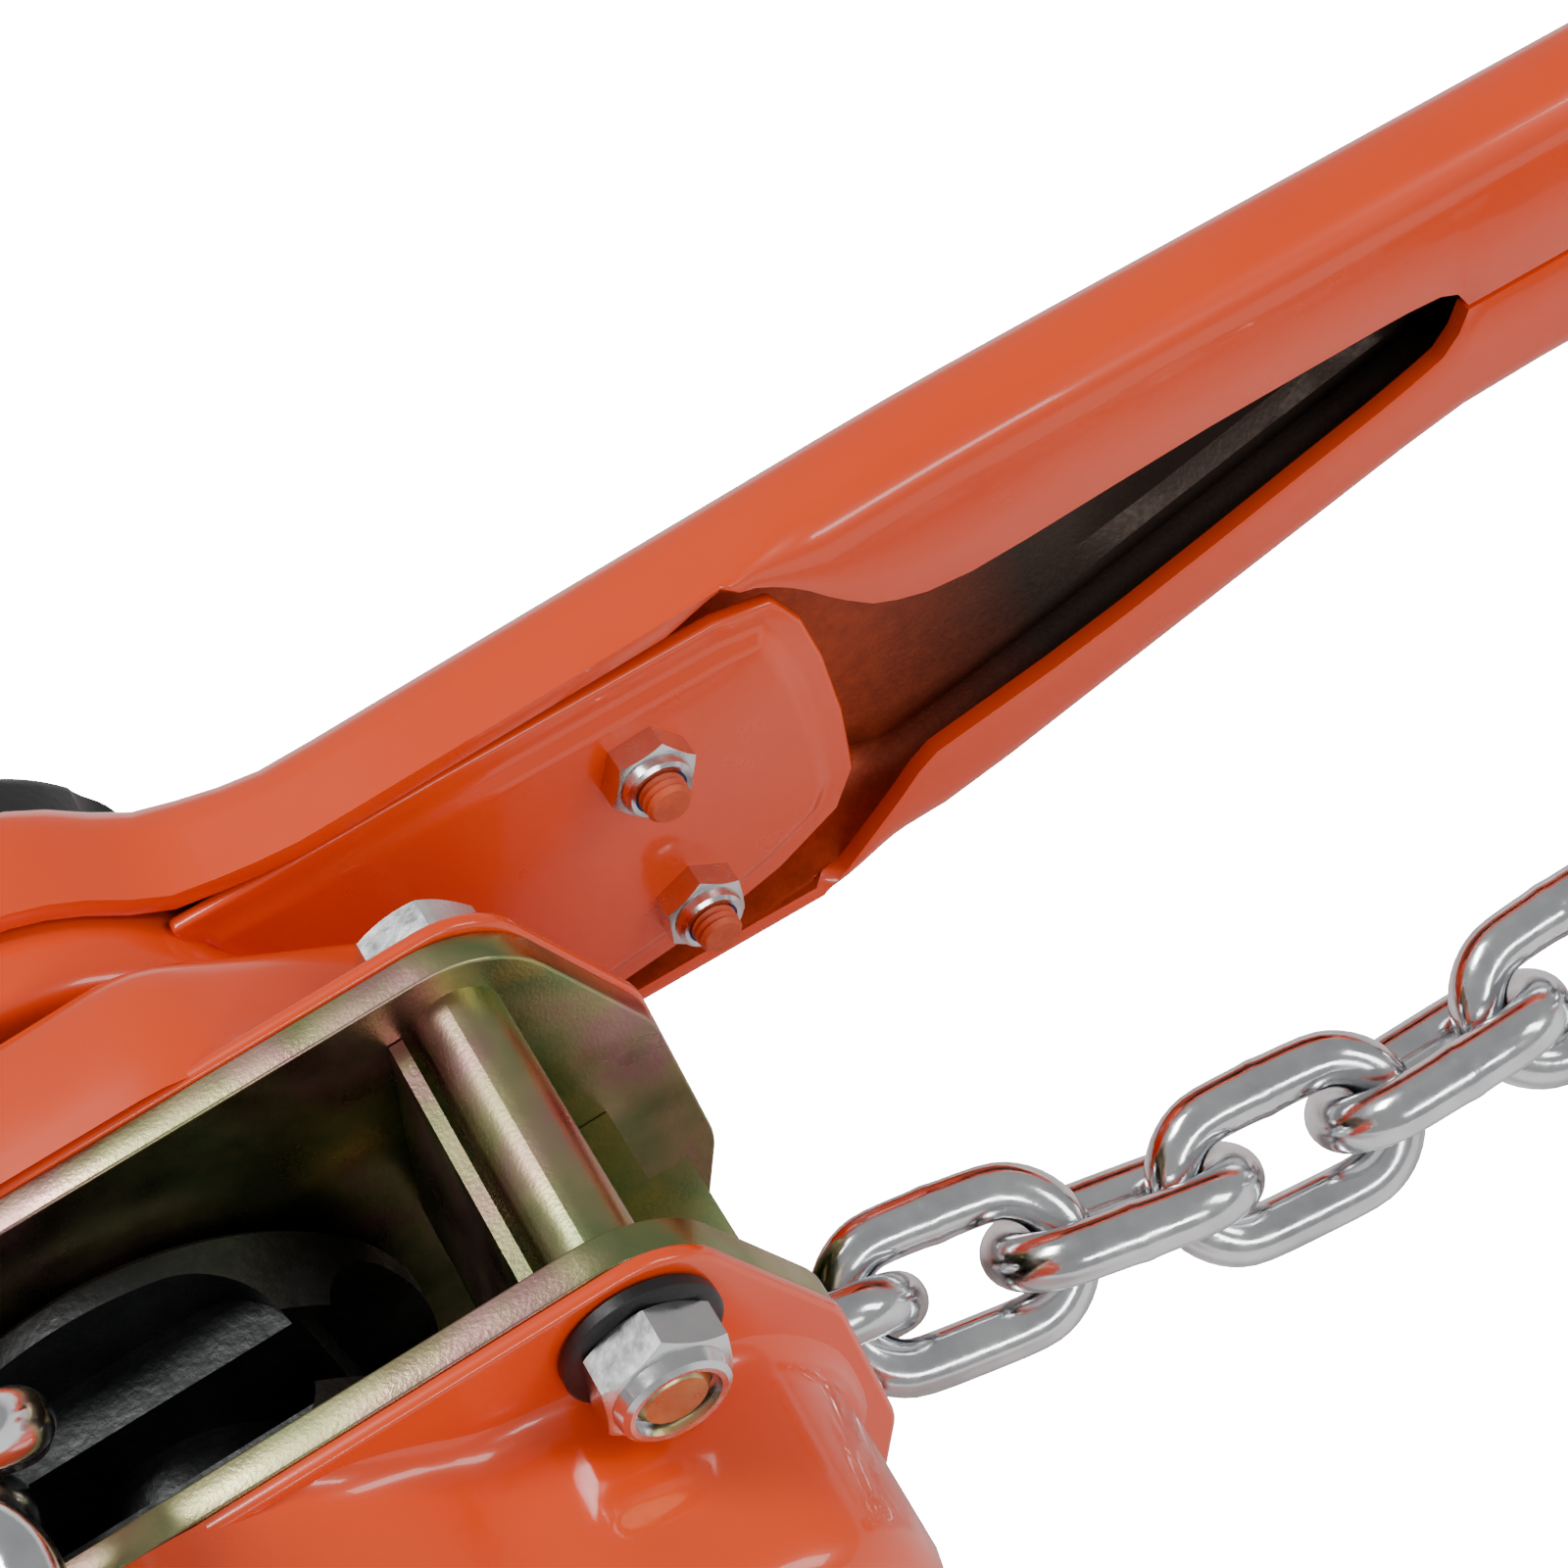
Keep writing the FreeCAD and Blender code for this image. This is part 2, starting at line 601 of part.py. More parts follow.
def hook():
    cx, bend = bowl_centre()
    x0 = neck_x + 4.0
    start = V(neck_x - 3.0, 0, 0)
    p1 = V(x0, 0, 0)
    frac = bend / (hook_r + bend)
    tangent = V(x0 + (cx - x0) * frac, -bend + bend * frac, 0)
    a0 = math.atan2(-tangent.y, cx - tangent.x)
    mid_bend = V(x0 + bend * math.sin(a0 * 1.4), -bend + bend * math.cos(a0 * 1.4), 0)
    bottom = V(cx + hook_r, 0, 0)
    tip = V(cx + hook_r * math.cos(hook_turn), hook_r * math.sin(hook_turn), 0)
    path = Part.Wire([Part.LineSegment(start, p1).toShape(),
                      Part.Arc(p1, mid_bend, tangent).toShape(),
                      Part.Arc(tangent, bottom, tip).toShape()])
    section = Part.Wire([Part.Circle(start, V(1, 0, 0), hook_bar).toShape()])
    bar = path.makePipeShell([section], True, True)
    point = Part.makeSphere(hook_bar, tip)
    collar = Part.makeCylinder(10.0, neck_x - block_x[1] - 0.4, V(block_x[1] + 0.4, 0, 0), V(1, 0, 0))
    shank = Part.makeCylinder(7.0, neck_x - nut_x[0] + 1.0, V(nut_x[0], 0, 0), V(1, 0, 0))
    ear = Part.makeBox(8.0, 10.0, 5.0, V(throat_x - 18.0, 5.5, -2.5))
    body = fuse([bar, point, collar, shank, ear])
    return body.cut(Part.makeCylinder(1.55, 20, V(throat_x - 14.0, ear_y, -10)))


def latch_pin():
    return Part.makeCylinder(1.5, 11.6, V(throat_x - 14.0, ear_y, -5.8))


def latch():
    """Bent sheet straddling the hook's ear, its free end against the inside of the point."""
    cx, bend = bowl_centre()
    px = throat_x - 14.0
    reach = hook_r - hook_bar - 2.4
    ex = cx + reach * math.cos(hook_turn)
    ey = reach * math.sin(hook_turn)
    ang = math.atan2(ey - ear_y, ex - px)
    length = math.hypot(ex - px, ey - ear_y) + 1.0
    web = Part.makeBox(length - 5.0, 1.6, 9.6, V(5.0, -0.6, -4.8))
    out = [web]
    for z in (2.9, -4.5):
        cheek = Part.makeBox(12.0, 6.0, 1.6, V(-1.0, -3.0, z))
        out.append(cheek)
        out.append(Part.makeCylinder(3.4, 1.6, V(0, 0, z)))
    body = fuse(out).cut(Part.makeCylinder(1.55, 20, V(0, 0, -10)))
    body.rotate(V(0, 0, 0), V(0, 0, 1), math.degrees(ang))
    body.translate(V(px, ear_y, 0))
    return body


def latch_spring():
    """Small torsion spring beside the ear, on the latch pin."""
    px = throat_x - 14.0
    coil = Part.makeCylinder(2.6, 0.36, V(px, ear_y, 2.52))
    return coil.cut(Part.makeCylinder(1.52, 5, V(px, ear_y, 0)))


def hook_nut():
    nut = Part.makeCylinder(10.6, nut_x[1] - nut_x[0] - 0.3, V(nut_x[0], 0, 0), V(1, 0, 0))
    return nut.cut(Part.makeCylinder(7.0, 40, V(0, 0, 0), V(1, 0, 0)))


def yoke_block(half_w, half_h):
    block = Part.makeBox(block_x[1] - block_x[0], 2 * half_w, 2 * half_h,
                         V(block_x[0], -half_w, -half_h))
    block = block.makeFillet(4.0, [e for e in block.Edges if abs(e.BoundBox.XMin - block_x[1]) < 1e-6
                                   or e.BoundBox.XLength > 10])
    window = Part.makeBox(nut_x[1] - nut_x[0] + 0.8, 22.4, 60, V(nut_x[0] - 0.5, -11.2, -30))
    bore = Part.makeCylinder(7.06, 40, V(nut_x[0], 0, 0), V(1, 0, 0))
    return block, [window, bore]


def top_yoke():
    half = gap / 2 - 1.0
    block, cuts = yoke_block(14.5, 13.0)
    eye = cyl(14.0, -half, half)
    body = fuse([block, eye])
    return body.cut(group(cuts + [cyl(pin_r + 0.06, -50, 50)]))


def bottom_yoke():
    """Clevis on the last chain link, block round the hook's nut."""
    block, cuts = yoke_block(13.0, 11.5)
    ears = cyl(9.0, -9.4, 9.4).fuse(box(0.0, 14.0, -9.4, 9.4, -9.0, 9.0))
    slot = box(-20.0, 15.2, -4.3, 4.3, -30, 30)
    body = fuse([block, ears])
    return body.cut(group(cuts + [slot, cyl(chain_pin_r, -50, 50)]))


def chain_pin():
    return fuse([cyl(chain_pin_r, -9.4, 9.4), cyl(4.6, -11.0, -9.4)])


def place_top(shape):
    """Turn a hook piece to point along -X from the top pin and droop to the floor."""
    s = shape.copy()
    s.rotate(V(0, 0, 0), V(0, 0, 1), 180)
    s.rotate(V(0, 0, 0), Y_AXIS, -top_droop)
    s.translate(V(top_pin_x, 0, 0))
    return s


def place_bottom(shape, chain_end):
    s = shape.copy()
    s.translate(chain_end)
    return s


def top_pin():
    shaft = cyl(pin_r, -flange_y - 1.9, flange_y, top_pin_x)
    return shaft


def top_pin_clip():
    return ring(8.8, pin_r, -flange_y - 1.7, -flange_y - 0.4, top_pin_x)


# ---- chain ----


def chain_link():
    """Link along X, its flat side facing Z."""
    r = wire / 2
    bars = [Part.makeCylinder(r, 2 * link_half, V(-link_half, s * side_y, 0), V(1, 0, 0))
            for s in (-1, 1)]
    ends = []
    for s in (-1, 1):
        bend = Part.makeTorus(side_y, r, V(0, 0, 0), V(0, 0, 1), -180, 180, 180)
        bend.rotate(V(0, 0, 0), V(0, 0, 1), -90 if s > 0 else 90)
        bend.translate(V(s * link_half, 0, 0))
        ends.append(bend)
    return fuse(bars + ends)


def put_link(link, centre, d, normal):
    """A copy of the link with its length along d and its flat side facing the normal."""
    side = normal.cross(d)
    s = link.copy()
    turn = FreeCAD.Matrix(d.x, side.x, normal.x, 0, d.y, side.y, normal.y, 0,
                          d.z, side.z, normal.z, 0)
    place = FreeCAD.Placement(turn)
    place.Base = centre
    s.Placement = place
    return s


def ahead_on(points, at, reach):
    """The point a distance further along a route than the place nearest to where the chain is."""
    best = None
    total = 0.0
    for a, b in zip(points, points[1:]):
        run = b - a
        length = run.Length
        t = max(0.0, min(length, (at - a).dot(run) / length))
        gap_now = (a + run * (t / length) - at).Length
        if best is None or gap_now < best[0]:
            best = (gap_now, total + t)
        total += length
    distance = best[1] + reach
    for a, b in zip(points, points[1:]):
        run = (b - a).Length
        if distance <= run:
            return a + (b - a) * (distance / run)
        distance -= run
    return points[-1] + (points[-1] - points[-2]).normalize() * distance


def lay_links(points, normal, twists, play, look):
    """Links along a route. Each bends only in its own flat side and twists a little on the next,
    as real links do. Gives the links, where the next link would start and its direction."""
    link = chain_link()
    out = []
    at = points[0]
    u = (points[1] - points[0]).normalize()
    for twist in twists:
        want = (ahead_on(points, at, look) - at).normalize()
        want = (want - normal * want.dot(normal)).normalize()
        d = (u + want).normalize()
        out.append(put_link(link, at + d * link_half, d, normal))
        at = at + d * (2 * link_half) + want * (side_y + play)
        u = want
        normal = u.cross(normal).normalize()
        normal = FreeCAD.Rotation(u, twist).multVec(normal)
    return group(out), at, u


floor_chain_z = floor_z + side_y * math.sin(math.pi / 4) + wire / 2 + 0.15
load_route = [V(wheel_step - link_half, 0, -chain_r), V(56.0, -2.5, -chain_r), V(84.0, -9.0, -28.5),
              V(106.0, -11.5, floor_chain_z + 2.4), V(150.0, -13.0, floor_chain_z + 2.6),
              V(187.0, -13.0, floor_hook_z + 0.6), V(400.0, -13.0, floor_hook_z + 0.6)]


def load_chain():
    """Links from the sheave's underside out to the load hook, and where the hook's pin goes."""
    links, at, u = lay_links(load_route, V(0, 1, 0), load_twists, pulled_play, 36.0)
    return links, at - u * (side_y + pulled_play - 0.85)


def wheel_chain():
    """Links lying in the sheave, from its underside round to its back."""
    out = []
    link = chain_link()
    for k in range(3):
        s = link.copy()
        s.rotate(V(0, 0, 0), V(1, 0, 0), 90 if k % 2 else 0)
        s.translate(V(0, 0, -chain_r))
        s.rotate(V(0, 0, 0), Y_AXIS, 45 * k)
        out.append(s)
    return group(out)


def slack_path():
    """From the sheave over the gear case, down and out along the floor."""
    pts = [V(-chain_r, 0, wheel_step - link_half), V(-21.0, 0, 31.0)]
    for deg in range(20, 181, 10):
        a = math.radians(deg)
        pts.append(V(slack_x, over_y + over_r * math.cos(a), over_z + over_r * math.sin(a)))
    for deg in range(0, 91, 10):
        a = math.radians(deg)
        pts.append(V(slack_x - land_r + land_r * math.cos(a), over_y - over_r,
                     floor_hook_z + 10.0 + land_r - land_r * math.sin(a)))
    pts.append(V(-85.0, over_y - over_r, floor_hook_z + 5.0))
    pts.append(V(-150.0, over_y - over_r - 2.0, floor_chain_z + 2.5))
    pts.append(V(-500.0, over_y - over_r - 30.0, floor_chain_z + 2.5))
    return pts


def slack_chain():
    """The slack strand, where its last link ends and the direction it ends in."""
    twists = [11.25 if settle_from <= k < settle_from + 4 else 0 for k in range(slack_links)]
    return lay_links(slack_path(), V(0, 1, 0), twists, 0.2, 26.0)


def end_ring(at, u):
    """Round stop ring in the last slack link."""
    ring_r = 12.0
    ring_wire = 3.0
    s = Part.makeTorus(ring_r, ring_wire, V(0, 0, 0), V(0, 0, 1))
    middle = at - u * (side_y + 0.2) + u * (ring_r + 0.4)
    s.translate(middle)
    return s


def build():
    """Every node by name, still about the drive axis."""
    load, chain_end = load_chain()
    slack, slack_end, slack_way = slack_chain()
    nodes = {
        "plate_lever_side": side_plate(1),
        "plate_gear_side": side_plate(-1),
        "stay_bolts": stay_bolts(),
        "stay_spacers": stay_spacers(),
        "stay_washers": stay_washers(),
        "stay_nuts": stay_nuts(),
        "sheave_bearings": sheave_bearings(),
        "load_sheave": load_sheave(),
        "load_gear": load_gear(),
        "sheave_clip": sheave_clip(),
        "disc_gear_front": disc_gear(1),
        "disc_gear_rear": disc_gear(-1),
        "gear_cover": gear_cover(),
        "brake_cover": brake_cover(),
        "chain_guide": chain_guide(),
        "stripper": stripper(),
        "pinion_shaft": pinion_shaft(),
        "shaft_bushes": shaft_bushes(),
        "brake_seat": brake_seat(),
        "friction_disc_inner": friction_disc(31.1),
        "ratchet_disc": ratchet_disc(),
        "friction_disc_outer": friction_disc(39.5),
        "pawl_studs": pawl_studs(),
        "brake_pawl_upper": brake_pawl(0),
        "brake_pawl_lower": brake_pawl(1),
        "pawl_springs": pawl_springs(),
        "change_gear": change_gear(),
        "hand_wheel": hand_wheel(),
        "shaft_nut": shaft_nut(),
        "nut_washer": nut_washer(),
        "lever_shell": lever_shell(),
        "lever_inner_plate": lever_inner_plate(),
        "lever_spacers": lever_spacers(),
        "lever_bolts": lever_bolts(),
        "lever_nuts": lever_nuts(),
        "change_pawl": change_pawl(),
        "selector_knob": selector_knob(),
        "top_pin": top_pin(),
        "top_pin_clip": top_pin_clip(),
        "top_yoke": place_top(top_yoke()),
        "top_hook": place_top(hook()),
        "top_hook_nut": place_top(hook_nut()),
        "top_latch_pin": place_top(latch_pin()),
        "top_latch": place_top(latch()),
        "top_latch_spring": place_top(latch_spring()),
        "load_chain": load,
        "wheel_chain": wheel_chain(),
        "slack_chain": slack,
        "end_ring": end_ring(slack_end, slack_way),
        "bottom_yoke": place_bottom(bottom_yoke(), chain_end),
        "chain_pin": place_bottom(chain_pin(), chain_end),
        "load_hook": place_bottom(hook(), chain_end),
        "load_hook_nut": place_bottom(hook_nut(), chain_end),
        "load_latch_pin": place_bottom(latch_pin(), chain_end),
        "load_latch": place_bottom(latch(), chain_end),
        "load_latch_spring": place_bottom(latch_spring(), chain_end),
    }
    return nodes, chain_end


def origin_shift(nodes):
    """From the drive axis to the floor under the middle of the whole hoist."""
    whole = Part.makeCompound(list(nodes.values())).optimalBoundingBox(False, False)
    return V(-(whole.XMin + whole.XMax) / 2, -(whole.YMin + whole.YMax) / 2, -whole.ZMin)


def main():
    nodes, chain_end = build()
    shift = origin_shift(nodes)
    print("drive axis at", round(shift.x, 4), round(shift.y, 4), round(shift.z, 4))
    pin = chain_end + shift
    print("load hook pin at", round(pin.x, 4), round(pin.y, 4), round(pin.z, 4))
    tail = nodes["end_ring"].CenterOfMass + shift
    print("end ring at", round(tail.x, 4), round(tail.y, 4), round(tail.z, 4))
    os.makedirs("parts", exist_ok=True)
    for name, shape in nodes.items():
        moved = shape.copy()
        moved.translate(shift)
        moved.exportStep("parts/" + name + ".step")
    return nodes, shift, chain_end


main()
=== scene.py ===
import bpy
import json
import math
import numpy as np
from mathutils import Matrix, Vector


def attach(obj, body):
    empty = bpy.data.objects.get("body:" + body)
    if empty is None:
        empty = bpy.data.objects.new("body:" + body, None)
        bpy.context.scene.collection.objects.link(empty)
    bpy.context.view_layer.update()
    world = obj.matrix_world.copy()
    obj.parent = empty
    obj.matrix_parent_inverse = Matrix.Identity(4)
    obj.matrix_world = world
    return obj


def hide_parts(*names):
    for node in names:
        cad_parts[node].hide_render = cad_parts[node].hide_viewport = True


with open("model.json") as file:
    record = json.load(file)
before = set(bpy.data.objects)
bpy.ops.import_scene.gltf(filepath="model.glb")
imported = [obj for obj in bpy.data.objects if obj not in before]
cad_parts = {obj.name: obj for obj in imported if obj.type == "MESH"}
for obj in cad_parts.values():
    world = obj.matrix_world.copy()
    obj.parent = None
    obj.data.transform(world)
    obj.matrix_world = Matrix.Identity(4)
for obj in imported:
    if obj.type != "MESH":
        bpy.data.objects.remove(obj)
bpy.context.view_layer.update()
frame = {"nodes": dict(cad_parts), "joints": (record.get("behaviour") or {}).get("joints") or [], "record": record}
NODES = frame["nodes"]
JOINTS = {j["name"]: j for j in frame["joints"]}
DRIVE = Vector(JOINTS["sheave_turn"]["pos_m"])      # drive axis, middle of the chain plane


def at(x, y, z):
    """A place in millimetres about the drive axis, as metres in the row frame."""
    return DRIVE + Vector((x, y, z)) * 0.001


def placed(x_axis, y_axis, z_axis, origin):
    """Matrix that turns the axes to these directions and moves to the origin given."""
    rows = [(x_axis[k], y_axis[k], z_axis[k], origin[k]) for k in range(3)]
    return Matrix(rows + [(0, 0, 0, 1)])


# ---- camera ----
cam_az = math.radians(-10.82)
cam_el = math.radians(52.2)
cam_roll = math.radians(22.43)
back = Vector((math.sin(cam_az) * math.cos(cam_el), -math.cos(cam_az) * math.cos(cam_el),
               math.sin(cam_el)))
right = Vector((math.cos(cam_az), math.sin(cam_az), 0))
up = back.cross(right)
cam_x = right * math.cos(cam_roll) - up * math.sin(cam_roll)
cam_y = right * math.sin(cam_roll) + up * math.cos(cam_roll)
cam_pos = at(49.5, 0, 32) + (cam_x * 25.16 + cam_y * 36.08 + back * 291.87) * 0.001
cam_data = bpy.data.cameras.new("camera")
camera = bpy.data.objects.new("camera", cam_data)
bpy.context.scene.collection.objects.link(camera)
camera.matrix_world = placed(cam_x, cam_y, back, cam_pos)
cam_data.sensor_width = 36.0
cam_data.lens = 67.5
cam_data.clip_start = 0.01
cam_data.clip_end = 50.0
bpy.context.scene.camera = camera


# ---- node groups ----
def value_group(name, kind):
    """A shared effect: 'mottle' gives a soft cloudy mask, 'grain' a bumped normal."""
    g = bpy.data.node_groups.new(name, "ShaderNodeTree")
    g.interface.new_socket(name="Vector", in_out="INPUT", socket_type="NodeSocketVector")
    g.interface.new_socket(name="Scale", in_out="INPUT", socket_type="NodeSocketFloat")
    gin = g.nodes.new("NodeGroupInput")
    gout = g.nodes.new("NodeGroupOutput")
    noise = g.nodes.new("ShaderNodeTexNoise")
    noise.inputs["Detail"].default_value = 4.0
    g.links.new(gin.outputs["Vector"], noise.inputs["Vector"])
    g.links.new(gin.outputs["Scale"], noise.inputs["Scale"])
    if kind == "mask":
        g.interface.new_socket(name="Mask", in_out="OUTPUT", socket_type="NodeSocketFloat")
        ramp = g.nodes.new("ShaderNodeMapRange")
        ramp.inputs["From Min"].default_value = 0.3
        ramp.inputs["From Max"].default_value = 0.7
        g.links.new(noise.outputs["Fac"], ramp.inputs["Value"])
        g.links.new(ramp.outputs["Result"], gout.inputs["Mask"])
    else:
        g.interface.new_socket(name="Depth", in_out="INPUT", socket_type="NodeSocketFloat")
        g.interface.new_socket(name="Normal", in_out="OUTPUT", socket_type="NodeSocketVector")
        bump = g.nodes.new("ShaderNodeBump")
        bump.inputs["Distance"].default_value = 0.0002
        g.links.new(gin.outputs["Depth"], bump.inputs["Strength"])
        g.links.new(noise.outputs["Fac"], bump.inputs["Height"])
        g.links.new(bump.outputs["Normal"], gout.inputs["Normal"])
    return g


mottle = value_group("mottle", "mask")
grain = value_group("grain", "normal")


def material(name, stops, metallic, rough, mask_scale=120.0, grain_scale=900.0, depth=0.1,
             coat=0.0, rough_spread=0.08):
    """Principled surface whose colour drifts through the stops and whose sheen varies a little."""
    mat = bpy.data.materials.new(name)
    mat.use_nodes = True
    nt = mat.node_tree
    bsdf = nt.nodes["Principled BSDF"]
    coords = nt.nodes.new("ShaderNodeTexCoord")
    cloud = nt.nodes.new("ShaderNodeGroup")
    cloud.node_tree = mottle
    cloud.inputs["Scale"].default_value = mask_scale
    nt.links.new(coords.outputs["Object"], cloud.inputs["Vector"])
    ramp = nt.nodes.new("ShaderNodeValToRGB")
    els = ramp.color_ramp.elements
    while len(els) < len(stops):
        els.new(0.5)
    for k, c in enumerate(stops):
        els[k].position = k / (len(stops) - 1)
        els[k].color = (*c, 1.0)
    nt.links.new(cloud.outputs["Mask"], ramp.inputs["Fac"])
    nt.links.new(ramp.outputs["Color"], bsdf.inputs["Base Color"])
    fine = nt.nodes.new("ShaderNodeGroup")
    fine.node_tree = mottle
    fine.inputs["Scale"].default_value = mask_scale * 3.1
    nt.links.new(coords.outputs["Object"], fine.inputs["Vector"])
    spread = nt.nodes.new("ShaderNodeMapRange")
    spread.inputs["To Min"].default_value = max(0.02, rough - rough_spread)
    spread.inputs["To Max"].default_value = rough + rough_spread
    nt.links.new(fine.outputs["Mask"], spread.inputs["Value"])
    nt.links.new(spread.outputs["Result"], bsdf.inputs["Roughness"])
    peel = nt.nodes.new("ShaderNodeGroup")
    peel.node_tree = grain
    peel.inputs["Scale"].default_value = grain_scale
    peel.inputs["Depth"].default_value = depth
    nt.links.new(coords.outputs["Object"], peel.inputs["Vector"])
    nt.links.new(peel.outputs["Normal"], bsdf.inputs["Normal"])
    bsdf.inputs["Metallic"].default_value = metallic
    bsdf.inputs["Coat Weight"].default_value = coat
    bsdf.inputs["Coat Roughness"].default_value = 0.06
    return mat


M = {
    "orange_paint": material("orange_paint", [(0.86, 0.058, 0.0), (0.89, 0.067, 0.001)], 0.0, 0.3,
                             40, 350, 0.04, 0.6, 0.03),
    "plate_zinc": material("plate_zinc", [(0.46, 0.36, 0.12), (0.24, 0.30, 0.13), (0.42, 0.37, 0.19),
                                          (0.48, 0.27, 0.24), (0.32, 0.32, 0.15)], 1.0, 0.32,
                           38, 2200, 0.14),
    "bright_steel": material("bright_steel", [(0.66, 0.67, 0.68), (0.78, 0.78, 0.79)], 1.0, 0.22,
                             150, 1500, 0.08),
    "gold_zinc": material("gold_zinc", [(0.66, 0.53, 0.22), (0.52, 0.48, 0.25), (0.7, 0.5, 0.3)], 1.0,
                          0.32, 200, 1500, 0.1),
    "black_oxide": material("black_oxide", [(0.012, 0.012, 0.013), (0.03, 0.03, 0.032)], 0.3, 0.4,
                            100, 1200, 0.15),
    "cast_black": material("cast_black", [(0.008, 0.009, 0.009), (0.022, 0.023, 0.024)], 0.4, 0.42,
                           160, 900, 0.6),
    "gear_steel": material("gear_steel", [(0.3, 0.3, 0.3), (0.45, 0.44, 0.42)], 1.0, 0.35, 150, 1200, 0.1),
    "chain_zinc": material("chain_zinc", [(0.62, 0.63, 0.65), (0.82, 0.83, 0.84)], 1.0, 0.16,
                           180, 700, 0.12, 0.0, 0.06),
    "spring_steel": material("spring_steel", [(0.4, 0.4, 0.4), (0.55, 0.55, 0.55)], 1.0, 0.25),
    "friction_lining": material("friction_lining", [(0.07, 0.045, 0.03), (0.12, 0.08, 0.05)], 0.0, 0.8,
                                300, 1500, 0.5),
    "bush_bronze": material("bush_bronze", [(0.5, 0.36, 0.15), (0.6, 0.45, 0.2)], 1.0, 0.35),
    "wheel_black": material("wheel_black", [(0.014, 0.014, 0.015), (0.025, 0.025, 0.026)], 0.0, 0.5,
                            80, 900, 0.3),
    "nylon_blue": material("nylon_blue", [(0.05, 0.12, 0.42), (0.08, 0.18, 0.52)], 0.0, 0.4),
    "orange_dull": material("orange_dull", [(0.55, 0.07, 0.02), (0.72, 0.10, 0.025)], 0.0, 0.5,
                            400, 1500, 0.4),
}



def inside_material():
    """Bare back of the lever sheet: overspray near the mouth's open end, dark further in."""
    mat = M["orange_dull"].copy()
    mat.name = "lever_inside"
    mat.node_tree.nodes["Principled BSDF"].inputs["Metallic"].default_value = 0.5
    nt = mat.node_tree
    bsdf = nt.nodes["Principled BSDF"]
    coords = nt.nodes["Texture Coordinate"]
    split = nt.nodes.new("ShaderNodeSeparateXYZ")
    nt.links.new(coords.outputs["Object"], split.inputs["Vector"])
    fade = nt.nodes.new("ShaderNodeMapRange")
    fade.inputs["From Min"].default_value = at(100, 0, 0).x
    fade.inputs["From Max"].default_value = at(140, 0, 0).x
    nt.links.new(split.outputs["X"], fade.inputs["Value"])
    mix = nt.nodes.new("ShaderNodeMix")
    mix.data_type = "RGBA"
    paint = nt.nodes["Color Ramp"]
    nt.links.new(fade.outputs["Result"], mix.inputs["Factor"])
    nt.links.new(paint.outputs["Color"], mix.inputs["A"])
    mix.inputs["B"].default_value = (0.075, 0.05, 0.038, 1)
    nt.links.new(mix.outputs["Result"], bsdf.inputs["Base Color"])
    return mat


M["lever_inside"] = inside_material()
SLOT = {s["node"]: s["material_slot"] for s in frame["record"]["subparts"]}
for node, ob in NODES.items():
    ob.data.materials.clear()
    ob.data.materials.append(M[SLOT[node]])


# ---- modelling helpers ----
def deselect():
    """Leaves edit mode and selects nothing."""
    if bpy.context.object and bpy.context.object.mode != "OBJECT":
        bpy.ops.object.mode_set(mode="OBJECT")
    bpy.ops.object.select_all(action="DESELECT")


def take(ob):
    """Makes one object the only selected one, and the active one."""
    deselect()
    ob.select_set(True)
    bpy.context.view_layer.objects.active = ob


def finish_piece(ob, name, body, slot, mat=None, smooth=35.0, replaces=(), keep=False):
    """Applied modifiers, outward faces, shading, material, and the body it rides on."""
    if ob.mode != "OBJECT":
        bpy.ops.object.mode_set(mode="OBJECT")
    take(ob)
    bpy.ops.object.transform_apply(location=True, rotation=True, scale=True)
    for m in list(ob.modifiers):
        bpy.ops.object.modifier_apply(modifier=m.name)
    bpy.ops.object.mode_set(mode="EDIT")
    bpy.ops.mesh.select_all(action="SELECT")
    bpy.ops.mesh.normals_make_consistent(inside=False)
    bpy.ops.object.mode_set(mode="OBJECT")
    bpy.ops.object.shade_smooth_by_angle(angle=math.radians(smooth))
    ob.name = name
    if not keep:
        ob.data.materials.clear()
        ob.data.materials.append(M[mat or slot])
    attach(ob, body)
    if replaces:
        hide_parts(*replaces)
    ob.select_set(False)
    return ob


def start_vertex(p):
    """A new object holding one vertex, in edit mode, at a place in metres."""
    deselect()
    bpy.ops.mesh.primitive_plane_add(size=0.001, location=p)
    ob = bpy.context.object
    bpy.ops.object.mode_set(mode="EDIT")
    bpy.ops.mesh.select_all(action="SELECT")
    bpy.ops.mesh.merge(type="CENTER")
    return ob


def trace(points):
    """Extrudes the selected vertex from point to point."""
    for a, b in zip(points, points[1:]):
        bpy.ops.mesh.extrude_region_move(TRANSFORM_OT_translate={"value": b - a})


def outline_face(points):
    """A flat face with this outline, selected in edit mode."""
    ob = start_vertex(points[0])
    trace(points)
    bpy.ops.mesh.select_all(action="SELECT")
    bpy.ops.mesh.edge_face_add()
    return ob


def push(vector):
    """Extrudes what is selected by a vector in metres."""
    bpy.ops.mesh.extrude_region_move(TRANSFORM_OT_translate={"value": vector})


def bevel_mod(ob, width, segments=3, angle=35.0):
    """Rounds the edges sharper than the angle, by a width in millimetres."""
    m = ob.modifiers.new("edge", "BEVEL")
    m.width = width * 0.001
    m.segments = segments
    m.limit_method = "ANGLE"
    m.angle_limit = math.radians(angle)
    m.harden_normals = False


